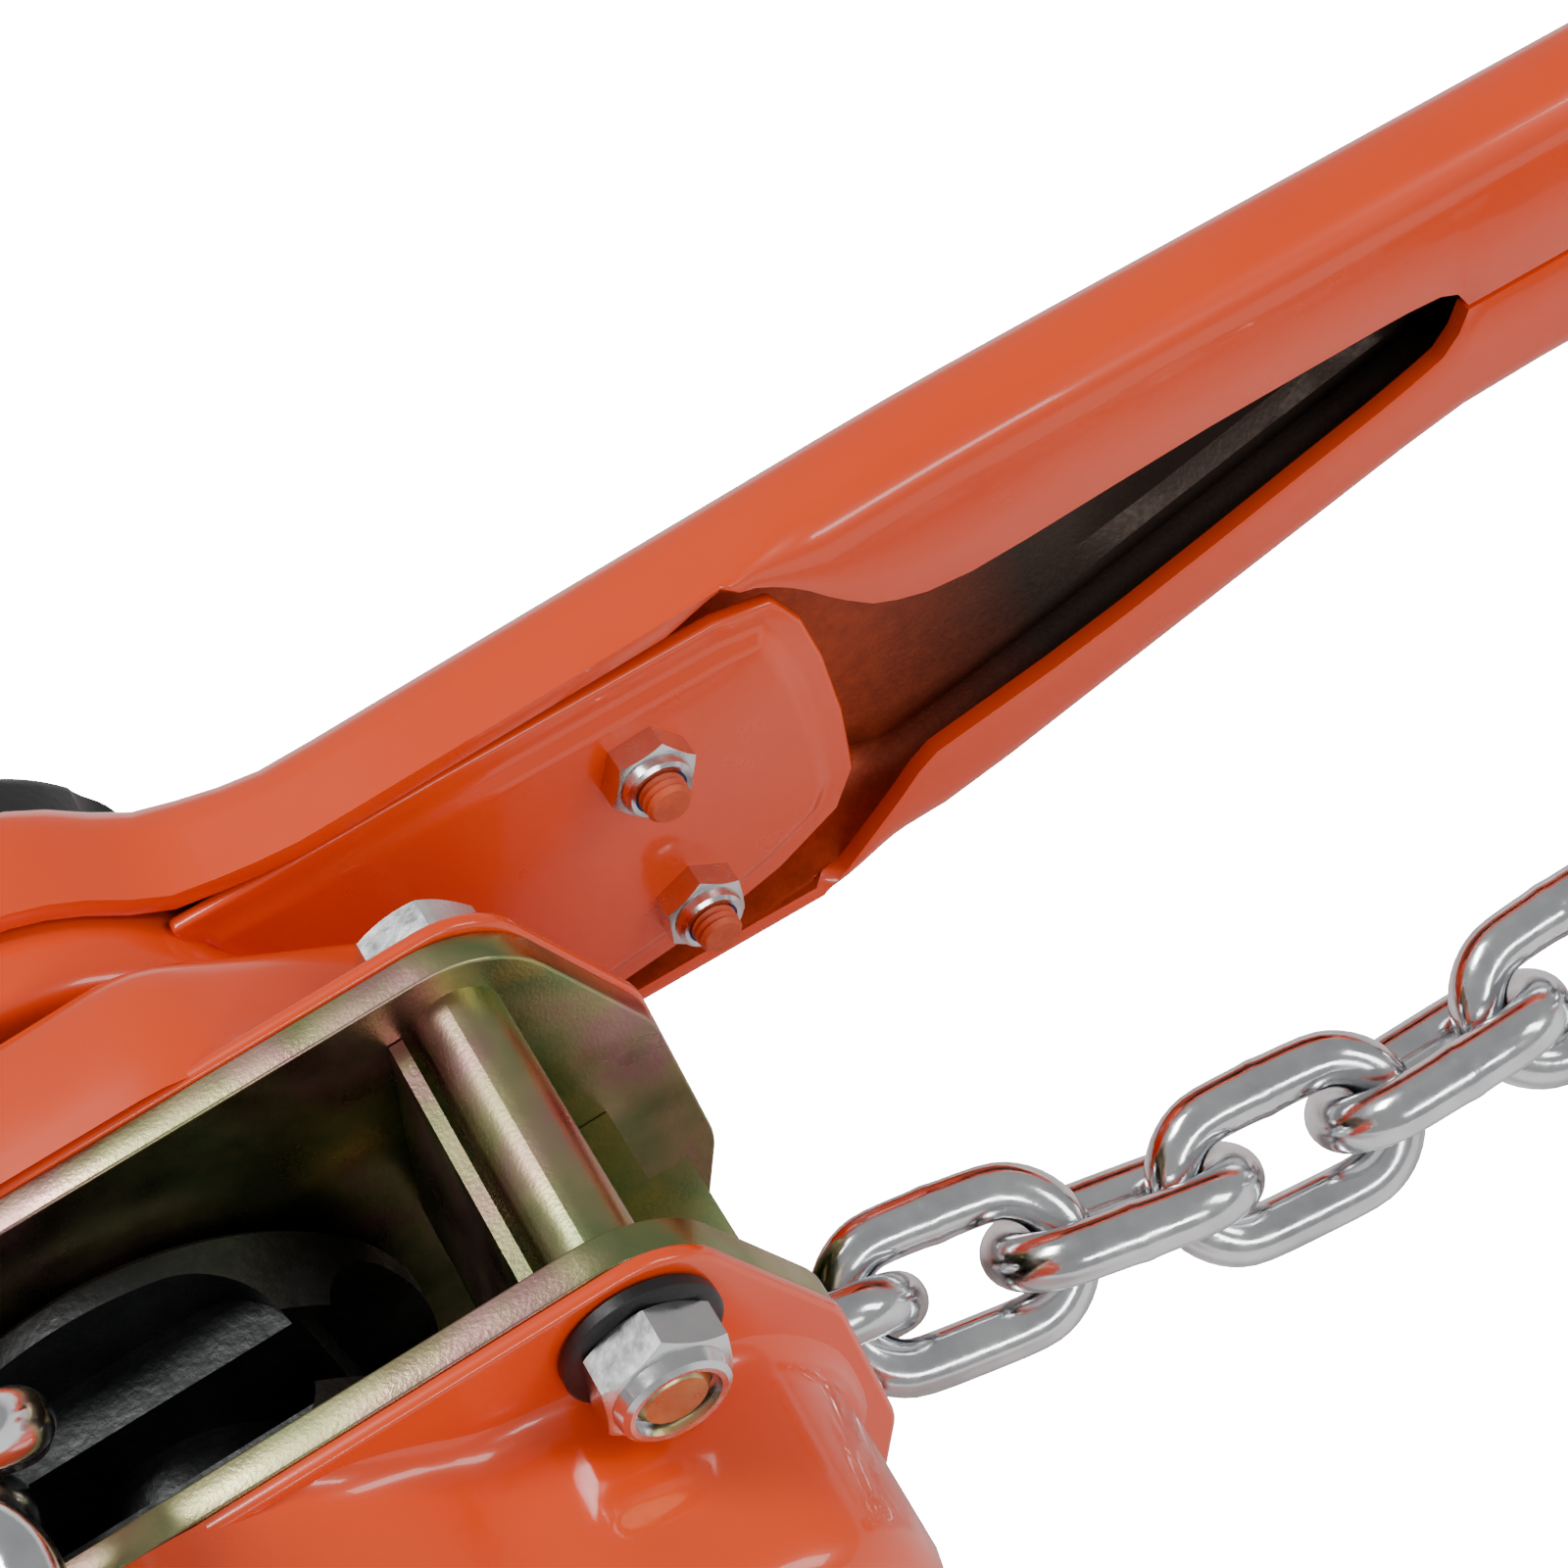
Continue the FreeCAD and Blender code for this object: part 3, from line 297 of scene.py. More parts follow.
def loft(sections):
    """Open sheet through the sections, each a list of places in metres."""
    ob = start_vertex(sections[0][0])
    n = len(sections[0])
    trace(sections[0])
    for sec in sections[1:]:
        bpy.ops.mesh.primitive_plane_add(size=0.001, location=sec[0] - sections[0][0] + ob.location,
                                         align="WORLD")
        bpy.ops.mesh.merge(type="CENTER")
        trace(sec)
    bpy.ops.object.mode_set(mode="OBJECT")
    mesh = ob.data
    count = len(sections)
    assert len(mesh.vertices) == n * count, (len(mesh.vertices), n, count)
    bpy.ops.object.mode_set(mode="EDIT")
    for k in range(count - 1):
        bpy.ops.mesh.select_all(action="DESELECT")
        bpy.ops.object.mode_set(mode="OBJECT")
        for v in mesh.vertices:
            v.select = k * n <= v.index < (k + 2) * n
        for e in mesh.edges:
            a, b = e.vertices
            e.select = mesh.vertices[a].select and mesh.vertices[b].select and a // n == b // n
        for f in mesh.polygons:
            f.select = False
        bpy.ops.object.mode_set(mode="EDIT")
        bpy.ops.mesh.select_mode(type="EDGE")
        bpy.ops.mesh.bridge_edge_loops()
    bpy.ops.mesh.select_mode(type="VERT")
    return ob


# ---- chain links, modelled once ----
pitch, wire, link_inside = 21.0, 7.1, 8.9
link_half = pitch / 2 - link_inside / 2


def link_model():
    """One welded link along X at the origin."""
    deselect()
    bpy.ops.mesh.primitive_torus_add(major_radius=0.008, minor_radius=0.00355, major_segments=24,
                                     minor_segments=14, rotation=(0, 0, math.radians(7.5)))
    ob = bpy.context.object
    bpy.ops.object.transform_apply(rotation=True)
    for sign in (1, -1):
        bpy.ops.object.mode_set(mode="EDIT")
        bpy.ops.mesh.select_all(action="DESELECT")
        bpy.ops.object.mode_set(mode="OBJECT")
        for v in ob.data.vertices:
            v.select = v.co.x * sign > 0
        bpy.ops.object.mode_set(mode="EDIT")
        bpy.ops.transform.translate(value=(sign * link_half * 0.001, 0, 0))
    # weld: a slightly raised collar in the middle of one bar
    for x in (-0.0011, -0.0006, 0.0006, 0.0011):
        bpy.ops.mesh.select_all(action="SELECT")
        bpy.ops.mesh.bisect(plane_co=(x, 0, 0), plane_no=(1, 0, 0))
    bpy.ops.mesh.select_all(action="DESELECT")
    bpy.ops.object.mode_set(mode="OBJECT")
    for v in ob.data.vertices:
        v.select = abs(v.co.x) < 0.0007 and v.co.y > 0
    bpy.ops.object.mode_set(mode="EDIT")
    bpy.ops.transform.resize(value=(1.0, 1.05, 1.05), center_override=(0, 0.008, 0))
    bpy.ops.object.mode_set(mode="OBJECT")
    sub = ob.modifiers.new("round", "SUBSURF")
    sub.levels = 1
    sub.render_levels = 1
    bpy.ops.object.modifier_apply(modifier="round")
    return ob


def islands(ob):
    """Vertex places of each separate solid in a frame node."""
    co = np.array([tuple(v.co) for v in ob.data.vertices])
    key = {}
    ids = [key.setdefault(tuple(np.round(c, 6)), len(key)) for c in co]
    parent = list(range(len(key)))

    def find(a):
        while parent[a] != a:
            parent[a] = parent[parent[a]]
            a = parent[a]
        return a
    for e in ob.data.edges:
        a, b = find(ids[e.vertices[0]]), find(ids[e.vertices[1]])
        if a != b:
            parent[a] = b
    groups = {}
    for i, c in zip(ids, co):
        groups.setdefault(find(i), set()).add(tuple(c))
    return [np.array(sorted(g)) for g in groups.values()]


def lay_chain(node, model):
    """A detailed link in the place of every link of a frame node."""
    first = None
    for k, pts in enumerate(islands(NODES[node])):
        mid = pts.mean(axis=0)
        cov = np.cov((pts - mid).T)
        w, v = np.linalg.eigh(cov)
        d = Vector(v[:, 2])
        side = Vector(v[:, 1])
        normal = d.cross(side)
        span = [(pts @ np.array(a)) for a in (d, side, normal)]
        centre = Vector((0, 0, 0))
        for s, a in zip(span, (d, side, normal)):
            centre = centre + a * float((s.min() + s.max()) / 2)
        if side.z < 0:
            side, normal = -side, -normal
        ob = model.copy()
        ob.data = model.data.copy()
        bpy.context.scene.collection.objects.link(ob)
        ob.matrix_world = placed(d, side, normal, centre)
        bpy.context.view_layer.update()
        names = (node,) if first is None else ()
        finish_piece(ob, "%s_link_%02d" % (node, k + 1), "frame", "chain_zinc", smooth=60,
                     replaces=names)
        first = ob


link = link_model()
for node in ("load_chain", "wheel_chain", "slack_chain"):
    lay_chain(node, link)
bpy.data.objects.remove(link)

# ---- lever shell: one pressed sheet through sections along the lever ----
droop = math.radians(2.3)
droop_turn = Matrix.Rotation(droop, 3, "Y")


def lev(x, y, z):
    """A place on the lever, in millimetres before it droops to the floor."""
    p = droop_turn @ Vector((x, y, z))
    return at(p.x, p.y, p.z)


def ramp(x, table):
    """Straight-line reading of a short table of (x, value)."""
    if x <= table[0][0]:
        return table[0][1]
    for (xa, va), (xb, vb) in zip(table, table[1:]):
        if x <= xb:
            return va + (vb - va) * (x - xa) / (xb - xa)
    return table[-1][1]


def smooth_step(x, x0, x1):
    """0 before x0, 1 after x1, and an even curve between."""
    t = max(0.0, min(1.0, (x - x0) / (x1 - x0)))
    return t * t * (3 - 2 * t)


def arc(cy, cz, r, a0, a1, n):
    """Points of a corner bend in the (y, z) plane, angles in degrees from +y."""
    return [(cy + r * math.cos(math.radians(a0 + (a1 - a0) * k / (n - 1))),
             cz + r * math.sin(math.radians(a0 + (a1 - a0) * k / (n - 1)))) for k in range(n)]


housing_r = 39.5
lever_half = 29.6
upper_edge = [(34, 29.6), (44, 29.9), (54, 30.5), (120, 33.8), (130, 34.2), (142, 34.3)]
lower_edge = [(108, -29.6), (118, -29.2), (128, -27.2), (190, -11.8), (200, -9.8), (212, -9.3)]
upper_lip = [(101, 30.5), (104, 28.5), (107, 26.0), (111, 21.0), (115, 17.2), (120, 14.6),
             (126, 13.4), (136, 13.7), (160, 15.2), (190, 15.7), (196, 15.2), (198.5, 14.0), (200, 11.2)]
lower_lip = [(99, -29.4), (101, -28.0), (106, -24.0), (111.5, -19.6), (115, -16.4), (118, -14.6),
             (125, -13.4), (132, -12.3), (140, -10.8), (155, -7.3), (170, -3.0), (185, 0.9), (193, 3.4),
             (196, 4.6), (198.5, 7.2), (200, 10.4)]
rib_line = [(112, -19.0), (131, -18.5), (154, -15.0), (187, -6.5), (200, -3.0)]


def lever_edges(x):
    """Lower and upper edge of the lever's outer shape at a place along it."""
    if x >= 26:
        tip = 11.0 * smooth_step(x, 282, 300)
        return ramp(x, lower_edge) + tip, ramp(x, upper_edge) - tip
    half = math.sqrt(max(0.0, housing_r ** 2 - x * x))
    if x > 12:
        half += (max(half, lever_half) - half) * smooth_step(x, 12, 26)
    half = max(half, 3.0)
    return -half, half


def lever_section(x):
    """The pressed sheet's outer line at a place along the lever, from lip to lip over the web."""
    low, high = lever_edges(x)
    half = (high - low) / 2
    end = smooth_step(x, 282, 300)
    step = smooth_step(x, 12, 46)
    near = 58.0 - 4.5 * step + 2.5 * end
    web = 78.0 - 8.0 * step - 3.0 * end
    r_near = min(6.0, half * 0.5)
    r_web = min(7.5, half * 0.6)
    r_lip = 1.2 + (r_near - 1.2) * smooth_step(x, 99, 112)
    rib = 2.4 * smooth_step(x, 106, 116) * (1 - smooth_step(x, 190, 215))
    if x > 99:
        edge = min(high - r_lip, ramp(x, upper_lip))
        pts = [(near, edge), (near, (edge + high - r_lip) / 2)]
        pts += arc(near + r_lip, high - r_lip, r_lip, 180, 90, 5)
    else:
        pts = [(near + rise, high) for rise in (0.0, 0.1, 0.3, 0.6, 1.0, 1.6, 2.4)]
    pts.append(((near + web) / 2, high))
    pts += arc(web - r_web, high - r_web, r_web, 90, 0, 6)
    top = high - r_web
    pts += [(web, top - 0.22 * (half - r_web)), (web, top - 0.4 * (half - r_web))]
    for off, share in ((4.6, 0.0), (1.5, 1.0), (-1.5, 1.0), (-4.6, 0.0)):
        z = max(low + r_web + 0.4 + (4.6 + off) * 0.15, min(top - 0.5 * (half - r_web) + off * 0.1,
                                                          ramp(x, rib_line) + off))
        pts.append((web - rib * share, z))
    pts += arc(web - r_web, low + r_web, r_web, 0, -90, 6)
    pts.append(((near + web) / 2, low))
    if x > 99:
        edge = max(low + r_lip, ramp(x, lower_lip))
        pts += arc(near + r_lip, low + r_lip, r_lip, -90, -180, 5)
        pts += [(near, (edge + low + r_lip) / 2), (near, edge)]
    else:
        pts += [(near + rise, low) for rise in (2.4, 1.6, 1.0, 0.6, 0.3, 0.1, 0.0)]
    return [lev(x, y, z) for y, z in pts]


section_x = [-39.2, -38.4, -36.5, -33.5, -29, -23, -16, -8, 0, 7, 12, 16, 20, 24, 28, 33, 38, 43, 50, 60,
             75, 90, 98, 100, 102, 104, 106, 108, 110, 112, 115, 118, 122, 128, 136, 148, 162, 176, 186,
             191, 194, 196, 197.5, 198.5, 199.3, 200, 204, 212, 225, 255, 278, 286, 291, 295, 298, 300]
shell = loft([lever_section(x) for x in section_x])
bpy.ops.object.mode_set(mode="OBJECT")
count = len(lever_section(0))
for pick in (range(count), range(len(shell.data.vertices) - count, len(shell.data.vertices))):
    bpy.ops.object.mode_set(mode="EDIT")
    bpy.ops.mesh.select_all(action="DESELECT")
    bpy.ops.object.mode_set(mode="OBJECT")
    for i in pick:
        shell.data.vertices[i].select = True
    bpy.ops.object.mode_set(mode="EDIT")
    bpy.ops.mesh.edge_face_add()
bpy.ops.mesh.select_all(action="SELECT")
bpy.ops.mesh.normals_make_consistent(inside=False)
bpy.ops.object.mode_set(mode="OBJECT")
web_face = max(shell.data.polygons, key=lambda f: f.center.y)
if web_face.normal.y < 0:
    bpy.ops.object.mode_set(mode="EDIT")
    bpy.ops.mesh.flip_normals()
    bpy.ops.object.mode_set(mode="OBJECT")
thick = shell.modifiers.new("sheet", "SOLIDIFY")
thick.thickness = 0.0024
thick.offset = -1.0
thick.use_quality_normals = True
thick.material_offset = 1
bevel_mod(shell, 0.5, 2, 60)


def drilled(ob, radius, place, depth=0.03, solver="EXACT"):
    """Cuts a round hole along Y with an applied Boolean."""
    deselect()
    bpy.ops.mesh.primitive_cylinder_add(vertices=48, radius=radius * 0.001, depth=depth, location=place,
                                        rotation=(math.radians(90), 0, 0))
    tool = bpy.context.object
    bpy.ops.object.transform_apply(location=True, rotation=True)
    take(ob)
    cut = ob.modifiers.new("hole", "BOOLEAN")
    cut.operation = "DIFFERENCE"
    cut.solver = solver
    cut.object = tool
    for m in list(ob.modifiers):
        bpy.ops.object.modifier_apply(modifier=m.name)
    bpy.data.objects.remove(tool)


take(shell)
bpy.ops.object.transform_apply(location=True)
shell.data.materials.clear()
shell.data.materials.append(M["orange_paint"])
shell.data.materials.append(M["lever_inside"])
drilled(shell, 18.0, lev(0, 76, 0), solver="FAST")
shell = finish_piece(shell, "lever_shell_sheet", "lever", "orange_paint", smooth=50,
                     replaces=("lever_shell",), keep=True)


def lathe(profile, origin, steps=48):
    """A turned body: profile of (radius, y) in millimetres spun about the Y line through origin."""
    ob = start_vertex(origin + Vector((profile[0][0], profile[0][1], 0)) * 0.001)
    trace([origin + Vector((r, y, 0)) * 0.001 for r, y in profile])
    bpy.ops.mesh.select_all(action="SELECT")
    bpy.ops.mesh.spin(steps=steps, angle=math.radians(360), center=origin, axis=(0, 1, 0))
    bpy.ops.mesh.select_all(action="SELECT")
    bpy.ops.mesh.remove_doubles(threshold=0.00002)
    bpy.ops.mesh.normals_make_consistent(inside=False)
    bpy.ops.object.mode_set(mode="OBJECT")
    take(ob)
    bpy.ops.object.transform_apply(location=True)
    return ob


def hex_solid(flats, y0, y1, origin, turn):
    """A hexagon along Y with its corners turned off to a cone at both ends."""
    r = flats / math.sqrt(3)
    mid = (y0 + y1) / 2
    bpy.ops.object.select_all(action="DESELECT")
    bpy.ops.mesh.primitive_cylinder_add(vertices=6, radius=r * 0.001, depth=(y1 - y0) * 0.001,
                                        location=origin + Vector((0, mid * 0.001, 0)),
                                        rotation=(math.radians(90), math.radians(turn), 0))
    ob = bpy.context.object
    bpy.ops.object.transform_apply(location=True, rotation=True)
    drop = (r - flats / 2) * 0.75
    cone = lathe([(0.0, y0), (flats / 2 - 0.1, y0), (r + 0.3, y0 + drop), (r + 0.3, y1 - drop),
                  (flats / 2 - 0.1, y1), (0.0, y1)], origin)
    take(ob)
    cut = ob.modifiers.new("corners", "BOOLEAN")
    cut.operation = "INTERSECT"
    cut.solver = "EXACT"
    cut.object = cone
    bpy.ops.object.modifier_apply(modifier="corners")
    bpy.data.objects.remove(cone)
    return ob


def joined(obs):
    """The objects as one, under the first one's name."""
    deselect()
    for o in obs:
        o.select_set(True)
    bpy.context.view_layer.objects.active = obs[0]
    bpy.ops.object.join()
    return obs[0]


def thread_profile(r, pitch_mm, y0, y1, tip=0.6):
    """Bolt end from its chamfered tip at y0 up to y1, with thread crests."""
    pts = [(0.0, y0), (r - tip, y0), (r - 0.1, y0 + tip)]
    y = y0 + tip
    while y + pitch_mm < y1:
        pts += [(r - 0.55, y + pitch_mm * 0.5), (r, y + pitch_mm)]
        y += pitch_mm
    pts += [(r, y1), (0.0, y1)]
    return pts


# nuts on the lever's two bolts, with their nylon rings and painted thread ends
lever_bolt_x, lever_bolt_z, tongue_face = 82.0, 13.8, 53.7
for k, s in enumerate((-1, 1)):
    spot = lev(lever_bolt_x, 0, s * lever_bolt_z)
    nut = hex_solid(10.0, tongue_face - 5.0, tongue_face - 0.1, spot, 8 + 20 * k)
    collar = lathe([(3.35, tongue_face - 6.5), (3.9, tongue_face - 6.6), (4.35, tongue_face - 6.2),
                    (4.55, tongue_face - 4.9), (3.35, tongue_face - 4.9), (3.35, tongue_face - 6.5)], spot)
    nut = joined([nut, collar])
    finish_piece(nut, "lever_nut_%d" % (k + 1), "lever", "bright_steel", smooth=32,
                 replaces=("lever_nuts",) if k == 0 else ())
    ring = lathe([(3.0, tongue_face - 6.0), (3.38, tongue_face - 6.3), (3.38, tongue_face - 5.2),
                  (3.0, tongue_face - 5.2), (3.0, tongue_face - 6.0)], spot)
    finish_piece(ring, "lever_nut_nylon_%d" % (k + 1), "lever", "bright_steel", "nylon_blue", 40)
    bolt = lathe(thread_profile(3.0, 1.0, 44.5, 60.0), spot)
    head = hex_solid(10.0, 69.9, 73.9, spot, 15)
    shank = lathe([(0, 59.5), (2.95, 59.5), (2.95, 70.5), (0, 70.5)], spot)
    bolt = joined([bolt, head, shank])
    finish_piece(bolt, "lever_bolt_%d" % (k + 1), "lever", "gold_zinc", "orange_dull", 30,
                 replaces=("lever_bolts",) if k == 0 else ())

# stay bolts: heads on the brake cover, nuts over washers on the gear cover
for k, (sx, sz) in enumerate(((49.5, 32), (-49.5, 32), (-49.5, -32))):
    spot = at(sx, 0, sz)
    first = k == 0
    nut = hex_solid(13.0, -31.2, -26.1, spot, 12 + 25 * k)
    collar = lathe([(4.5, -33.0), (5.1, -33.1), (5.7, -32.7), (6.1, -31.0), (4.5, -31.0),
                    (4.5, -33.0)], spot)
    finish_piece(joined([nut, collar]), "stay_nut_%d" % (k + 1), "frame", "bright_steel", smooth=32,
                 replaces=("stay_nuts",) if first else ())
    wash = lathe([(4.3, -26.1), (7.9, -26.1), (8.4, -25.7), (8.4, -24.5), (7.9, -24.05), (4.3, -24.05),
                  (4.3, -26.1)], spot)
    finish_piece(wash, "stay_washer_%d" % (k + 1), "frame", "black_oxide", smooth=40,
                 replaces=("stay_washers",) if first else ())
    tip = lathe(thread_profile(4.0, 1.25, -32.6, -22.0, 0.8), spot)
    shank = lathe([(0, -22.2), (3.9, -22.2), (3.9, 24.2), (0, 24.2)], spot)
    head = hex_solid(13.0, 24.1, 29.6, spot, 20)
    head.data.materials.clear()
    finish_piece(joined([tip, shank]), "stay_bolt_%d" % (k + 1), "frame", "gold_zinc", smooth=30,
                 replaces=("stay_bolts",) if first else ())
    finish_piece(head, "stay_head_%d" % (k + 1), "frame", "bright_steel", smooth=25)


# ---- side plates ----
def rounded(points, radius, n=5):
    """Outline with its corners rounded, as (x, z) pairs."""
    out = []
    count = len(points)
    for i in range(count):
        p = Vector(points[i])
        a = (Vector(points[i - 1]) - p).normalized()
        b = (Vector(points[(i + 1) % count]) - p).normalized()
        half_angle = a.angle(b) / 2
        reach = radius / math.tan(half_angle)
        centre = p + (a + b).normalized() * (radius / math.sin(half_angle))
        start, stop = p + a * reach, p + b * reach
        a0 = math.atan2(start.y - centre.y, start.x - centre.x)
        a1 = math.atan2(stop.y - centre.y, stop.x - centre.x)
        while a1 - a0 > math.pi:
            a1 -= 2 * math.pi
        while a1 - a0 < -math.pi:
            a1 += 2 * math.pi
        for k in range(n):
            t = a0 + (a1 - a0) * k / (n - 1)
            out.append((centre.x + radius * math.cos(t), centre.y + radius * math.sin(t)))
    return out


def octagon(grow=0.0):
    """Outline of the side plates, or a little larger for the covers' rims."""
    e, h = 67.5 + grow, 41.0 + grow
    cx, cz = e - 10.5, h - 28.0
    return [(cx, h), (e, cz), (e, -cz), (cx, -h), (-cx, -h), (-e, -cz), (-e, cz), (-cx, h)]


def slab(points, y0, y1):
    """Plate with this (x, z) outline from y0 to y1."""
    ob = outline_face([at(x, y0, z) for x, z in points])
    push(Vector((0, (y1 - y0) * 0.001, 0)))
    bpy.ops.mesh.select_all(action="SELECT")
    bpy.ops.mesh.normals_make_consistent(inside=False)
    bpy.ops.object.mode_set(mode="OBJECT")
    take(ob)
    bpy.ops.object.transform_apply(location=True)
    return ob


for name, y0, y1 in (("plate_lever_side", 18.0, 22.0), ("plate_gear_side", -22.0, -18.0)):
    plate = slab(rounded(octagon(), 13.0, 9), y0, y1)
    drilled(plate, 19.0, at(0, (y0 + y1) / 2, 0), 0.02)
    drilled(plate, 7.05, at(-50, (y0 + y1) / 2, 0), 0.02)
    bevel_mod(plate, 0.55, 3, 40)
    finish_piece(plate, name + "_pressed", "frame", "plate_zinc", smooth=40, replaces=(name,))


# ---- covers: drawn sheet, lofted loops round the case ----
def round_loop(reach, count=120):
    """Outline about the drive axis whose radius at each angle is given, softened a little."""
    r = [reach(2 * math.pi * k / count) for k in range(count)]
    for _ in range(3):
        r = [(r[k - 1] + 2 * r[k] + r[(k + 1) % count]) / 4 for k in range(count)]
    return r


def case_reach(a):
    """Gear case: a disc with a lobe to each side, kept clear of the stay nuts."""
    c, s = abs(math.cos(a)), abs(math.sin(a))
    lo, hi = 0.0, 90.0
    for _ in range(24):
        r = (lo + hi) / 2
        x, z = r * c, r * s
        inside = r <= 42.0 or math.hypot(max(0.0, x - 36.0), z) <= 28.0
        well = math.hypot(x - 49.5, z - 32.0) < 10.5
        if inside and not well:
            lo = r
        else:
            hi = r
    return lo


def edge_reach(a, edges):
    """Distance to the nearest of the straight edges, each a normal (nx, nz) and its distance."""
    c, s = abs(math.cos(a)), abs(math.sin(a))
    return min(d / (nx * c + nz * s) for nx, nz, d in edges if nx * c + nz * s > 1e-6)


def dome_reach(a):
    """Brake cover: a wide hexagon with blunt corners."""
    return edge_reach(a, [(1.0, 0.0, 51.5), (0.0, 1.0, 42.0), (0.607, 0.795, 47.95)])


def rim_reach(a):
    """How far a cover's foot may flare: just inside the edge of its rim."""
    return edge_reach(a, [(1.0, 0.0, 66.7), (0.0, 1.0, 40.2), (0.936, 0.351, 67.0)])


foot_flare = 3.4     # how far a cover's foot sweeps out to its rim, where there is room


def cover_loops(base, levels, count=120):
    """Loops for a drawn cover, one step short of closed.

    Each level is its y, its inward offset, its share of a plain circle and that circle's radius.
    """
    loops = []
    for y, inset, share, circle in levels:
        pts = []
        for k in range(count):
            a = 2 * math.pi * k / count
            room = max(0.0, min(1.0, (rim_reach(a) - base[k]) / foot_flare))
            wall = base[k] - inset * (room if inset < 0 else 1.0)
            r = wall * (1 - share) + circle * share
            pts.append(at(r * math.cos(a), y, r * math.sin(a)))
        loops.append(pts)
    return loops


def choose(mesh, wanted, edge_wanted):
    """Selects the vertices and edges that pass their tests, and no face."""
    for v in mesh.vertices:
        v.select = wanted(v)
    for e in mesh.edges:
        e.select = edge_wanted(*e.vertices)
    for f in mesh.polygons:
        f.select = False


def finish_cover(ob, cap, count=120):
    """Bridges the last step of the loops, and closes the last loop if its y is given as the cap."""
    bpy.ops.object.mode_set(mode="OBJECT")
    choose(ob.data, lambda v: v.index % count in (0, count - 1),
           lambda a, b: a % count == b % count and a % count in (0, count - 1))
    bpy.ops.object.mode_set(mode="EDIT")
    bpy.ops.mesh.select_mode(type="EDGE")
    bpy.ops.mesh.bridge_edge_loops()
    bpy.ops.mesh.select_mode(type="VERT")
    bpy.ops.object.mode_set(mode="OBJECT")
    take(ob)
    bpy.ops.object.transform_apply(location=True)
    if cap is not None:
        choose(ob.data, lambda v: abs(v.co.y - cap) < 1e-6, lambda a, b: False)
        bpy.ops.object.mode_set(mode="EDIT")
        bpy.ops.mesh.edge_face_add()
        bpy.ops.object.mode_set(mode="OBJECT")
    return ob


case = round_loop(case_reach)
gear_case = loft(cover_loops(case, [
    (-22.5, -foot_flare, 0, 0), (-23.6, -foot_flare, 0, 0), (-24.1, -2.2, 0, 0), (-24.9, -1.1, 0, 0),
    (-26.2, -0.3, 0, 0), (-28.0, 0.0, 0, 0), (-36.0, 0.15, 0, 0), (-44.5, 0.3, 0, 0), (-46.6, 0.8, 0, 0),
    (-48.4, 1.9, 0, 0), (-49.5, 3.5, 0, 0), (-49.95, 5.6, 0, 0), (-50.0, 8.0, 0, 0)]))
gear_case = finish_cover(gear_case, at(0, -50.0, 0).y)
flange = slab(rounded(octagon(0.3), 10.0, 9), -24.0, -22.05)
bevel_mod(flange, 0.7, 3, 40)
take(flange)
bpy.ops.object.modifier_apply(modifier="edge")
finish_piece(joined([gear_case, flange]), "gear_cover_drawn", "frame", "orange_paint", smooth=50,
             replaces=("gear_cover",))

dome = round_loop(dome_reach)
brake_dome = loft(cover_loops(dome, [
    (22.5, -3.0, 0, 0), (23.7, -3.0, 0, 0), (24.2, -1.8, 0, 0), (25.2, -0.8, 0, 0),
    (27.0, -0.1, 0, 0), (30.0, 0.2, 0, 0),
    (35.0, 0.6, 0, 0), (38.0, 1.2, 0, 0), (40.2, 2.4, 0, 0), (41.8, 4.2, 0.0, 0), (42.7, 6.4, 0.0, 0),
    (43.0, 8.6, 0.1, 34.5), (43.0, 0, 1.0, 34.2), (42.6, 0, 1.0, 33.2), (41.0, 0, 1.0, 33.0)]))
brake_dome = finish_cover(brake_dome, None)
flange = slab(rounded(octagon(0.3), 10.0, 9), 22.05, 24.0)
drilled(flange, 38.0, at(0, 23, 0), 0.02)
bevel_mod(flange, 0.7, 3, 40)
take(flange)
bpy.ops.object.modifier_apply(modifier="edge")
finish_piece(joined([brake_dome, flange]), "brake_cover_drawn", "frame", "orange_paint", smooth=50,
             replaces=("brake_cover",))


# ---- lever inner plate: cup round the brake and a pressed tongue for the bolts ----
tongue_points = [(26.0, 26.6), (60.0, 27.4), (96.0, 27.6), (103.5, 26.0), (106.2, 20.5), (107.4, 13.0),
                 (107.8, 2.0), (107.0, -9.0), (103.5, -15.0), (94.0, -20.0), (86.0, -22.4),
                 (70.0, -24.6), (50.0, -26.0), (26.0, -26.4)]
tongue = outline_face([lev(x, 56.0, z) for x, z in tongue_points])
push(Vector((0, -0.0023, 0)))
bpy.ops.mesh.inset(thickness=0.0034, use_even_offset=False)
bpy.ops.mesh.inset(thickness=0.0022, depth=0.0, use_even_offset=False)
bpy.ops.transform.translate(value=(0, -0.0013, 0))
bpy.ops.mesh.select_all(action="SELECT")
bpy.ops.mesh.normals_make_consistent(inside=False)
bpy.ops.object.mode_set(mode="OBJECT")
bevel_mod(tongue, 0.7, 3, 28)
take(tongue)
bpy.ops.object.transform_apply(location=True)
bpy.ops.object.modifier_apply(modifier="edge")
cup = lathe([(29.5, 48.0), (33.2, 48.0), (34.6, 48.3), (35.6, 49.2), (36.1, 50.6), (36.2, 52.0),
             (36.2, 60.0), (33.8, 60.0), (33.8, 52.0), (33.2, 50.6), (32.0, 50.3), (29.5, 50.3),
             (29.5, 48.0)], at(0, 0, 0), 96)
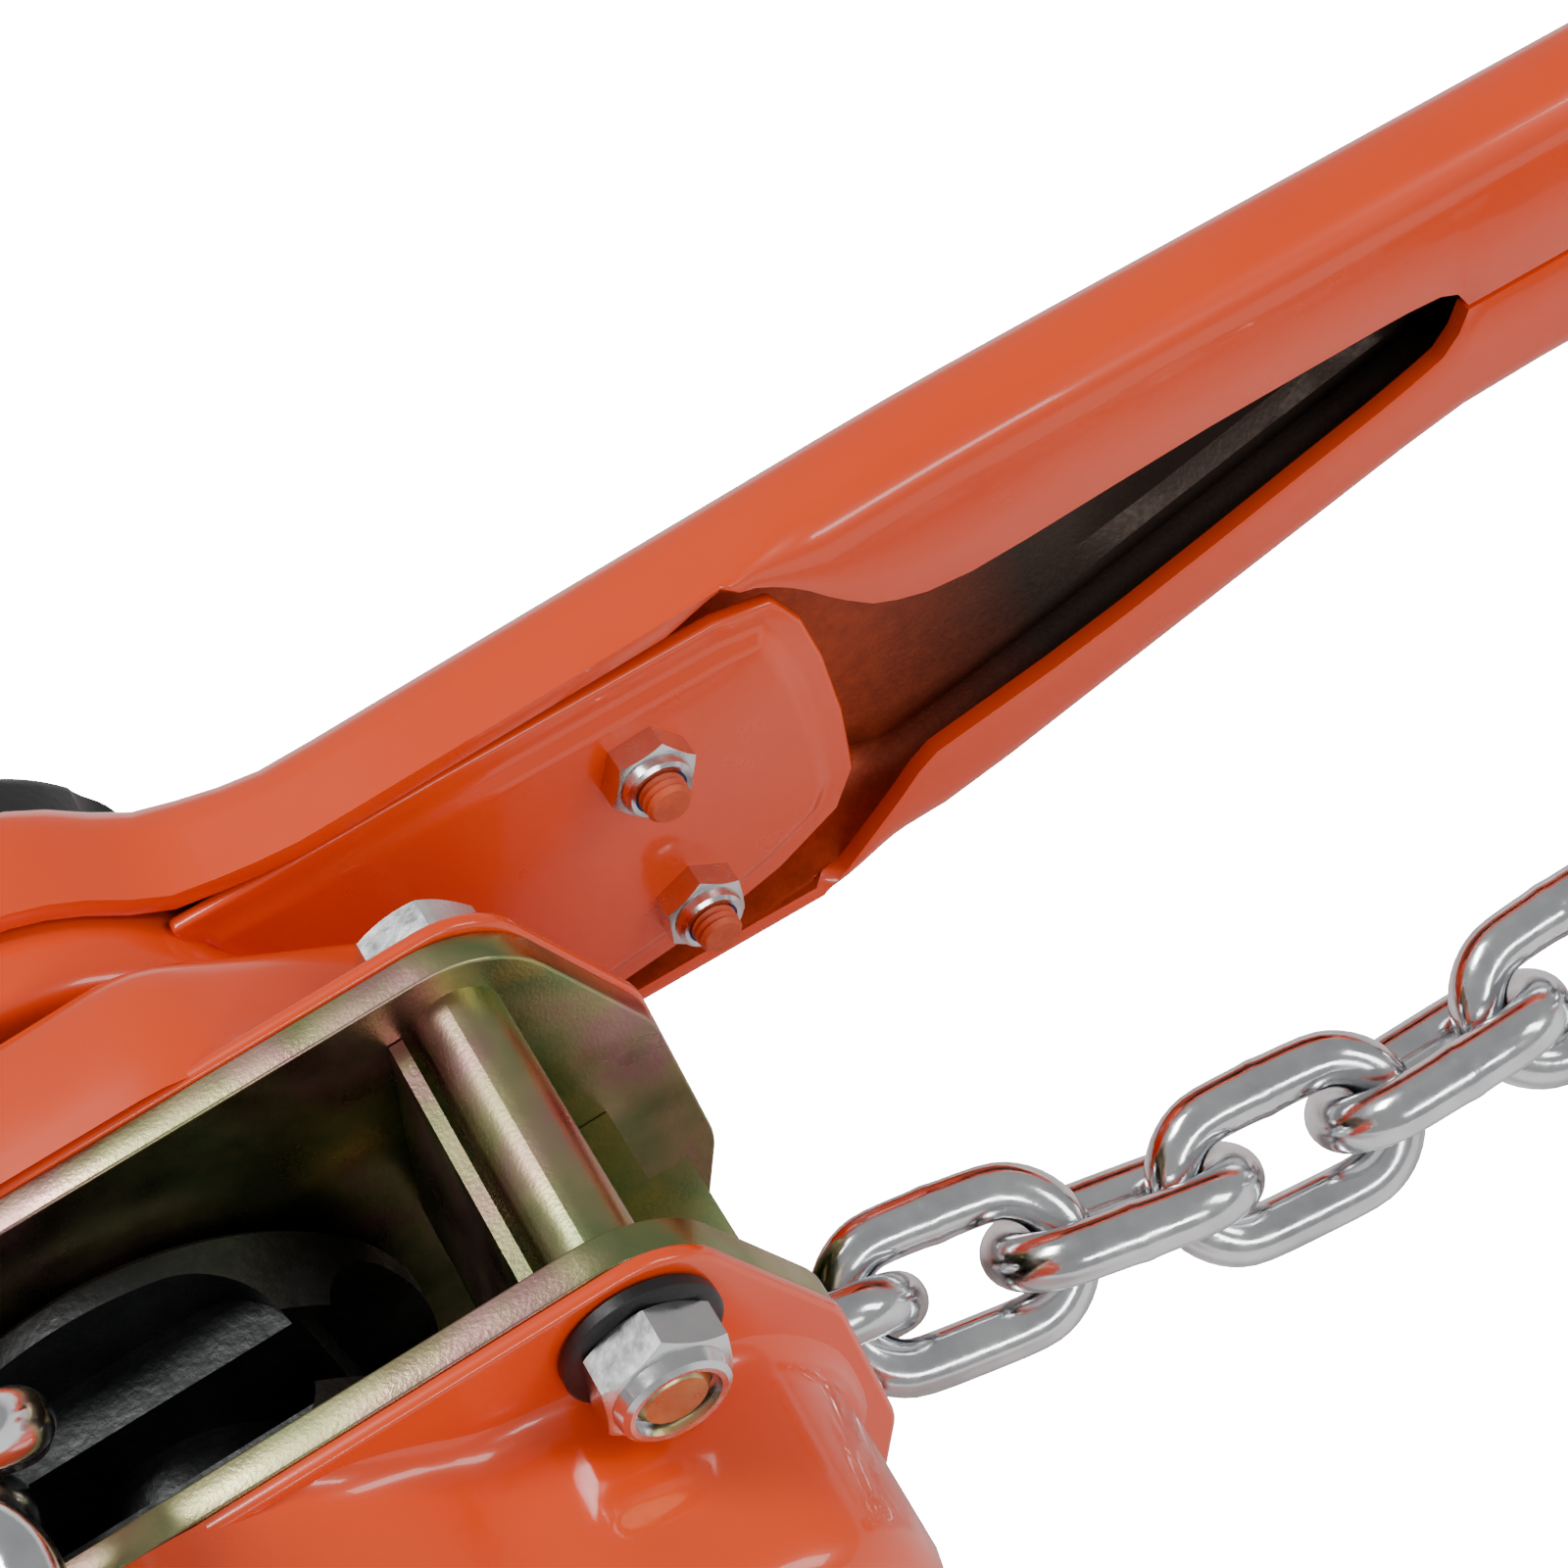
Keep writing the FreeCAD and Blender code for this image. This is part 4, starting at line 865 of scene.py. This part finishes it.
finish_piece(joined([cup, tongue]), "lever_inner_plate_pressed", "lever", "orange_paint", smooth=45,
             replaces=("lever_inner_plate",))

# ---- floor and light ----
deselect()
bpy.ops.mesh.primitive_plane_add(size=40.0, location=(0, 0, -0.0005))
floor = bpy.context.object
floor.name = "floor"
pale = bpy.data.materials.new("floor_pale")
pale.use_nodes = True
pale_nodes = pale.node_tree
pale_bsdf = pale_nodes.nodes["Principled BSDF"]
pale_bsdf.inputs["Base Color"].default_value = (0.9, 0.9, 0.9, 1)
pale_bsdf.inputs["Roughness"].default_value = 0.9
seen = pale_nodes.nodes.new("ShaderNodeLightPath")
glow = pale_nodes.nodes.new("ShaderNodeMapRange")
glow.inputs["To Min"].default_value = 0.0
glow.inputs["To Max"].default_value = 20.0
pale_nodes.links.new(seen.outputs["Is Camera Ray"], glow.inputs["Value"])
pale_bsdf.inputs["Emission Color"].default_value = (1, 1, 1, 1)
pale_nodes.links.new(glow.outputs["Result"], pale_bsdf.inputs["Emission Strength"])
floor.data.materials.append(pale)

world = bpy.data.worlds.new("studio")
world.use_nodes = True
world.node_tree.nodes["Background"].inputs["Color"].default_value = (1.0, 1.0, 1.0, 1)
world.node_tree.nodes["Background"].inputs["Strength"].default_value = 0.38
bpy.context.scene.world = world


def softbox(name, place, target, size, power):
    """A rectangular studio lamp aimed at a target."""
    data = bpy.data.lights.new(name, "AREA")
    data.shape = "RECTANGLE"
    data.size = size[0]
    data.size_y = size[1]
    data.energy = power
    ob = bpy.data.objects.new(name, data)
    bpy.context.scene.collection.objects.link(ob)
    ob.location = place
    aim = (Vector(target) - Vector(place)).to_track_quat("-Z", "Y")
    ob.rotation_euler = aim.to_euler()


middle = at(60, 0, 0)
softbox("key", middle + Vector((-0.5, 0.5, 1.3)), middle, (0.6, 0.3), 13)
softbox("side", middle + Vector((1.2, -0.7, 0.9)), middle, (0.4, 0.8), 7)
softbox("low", middle + Vector((0.15, -1.25, 0.76)), middle, (0.8, 0.2), 5)
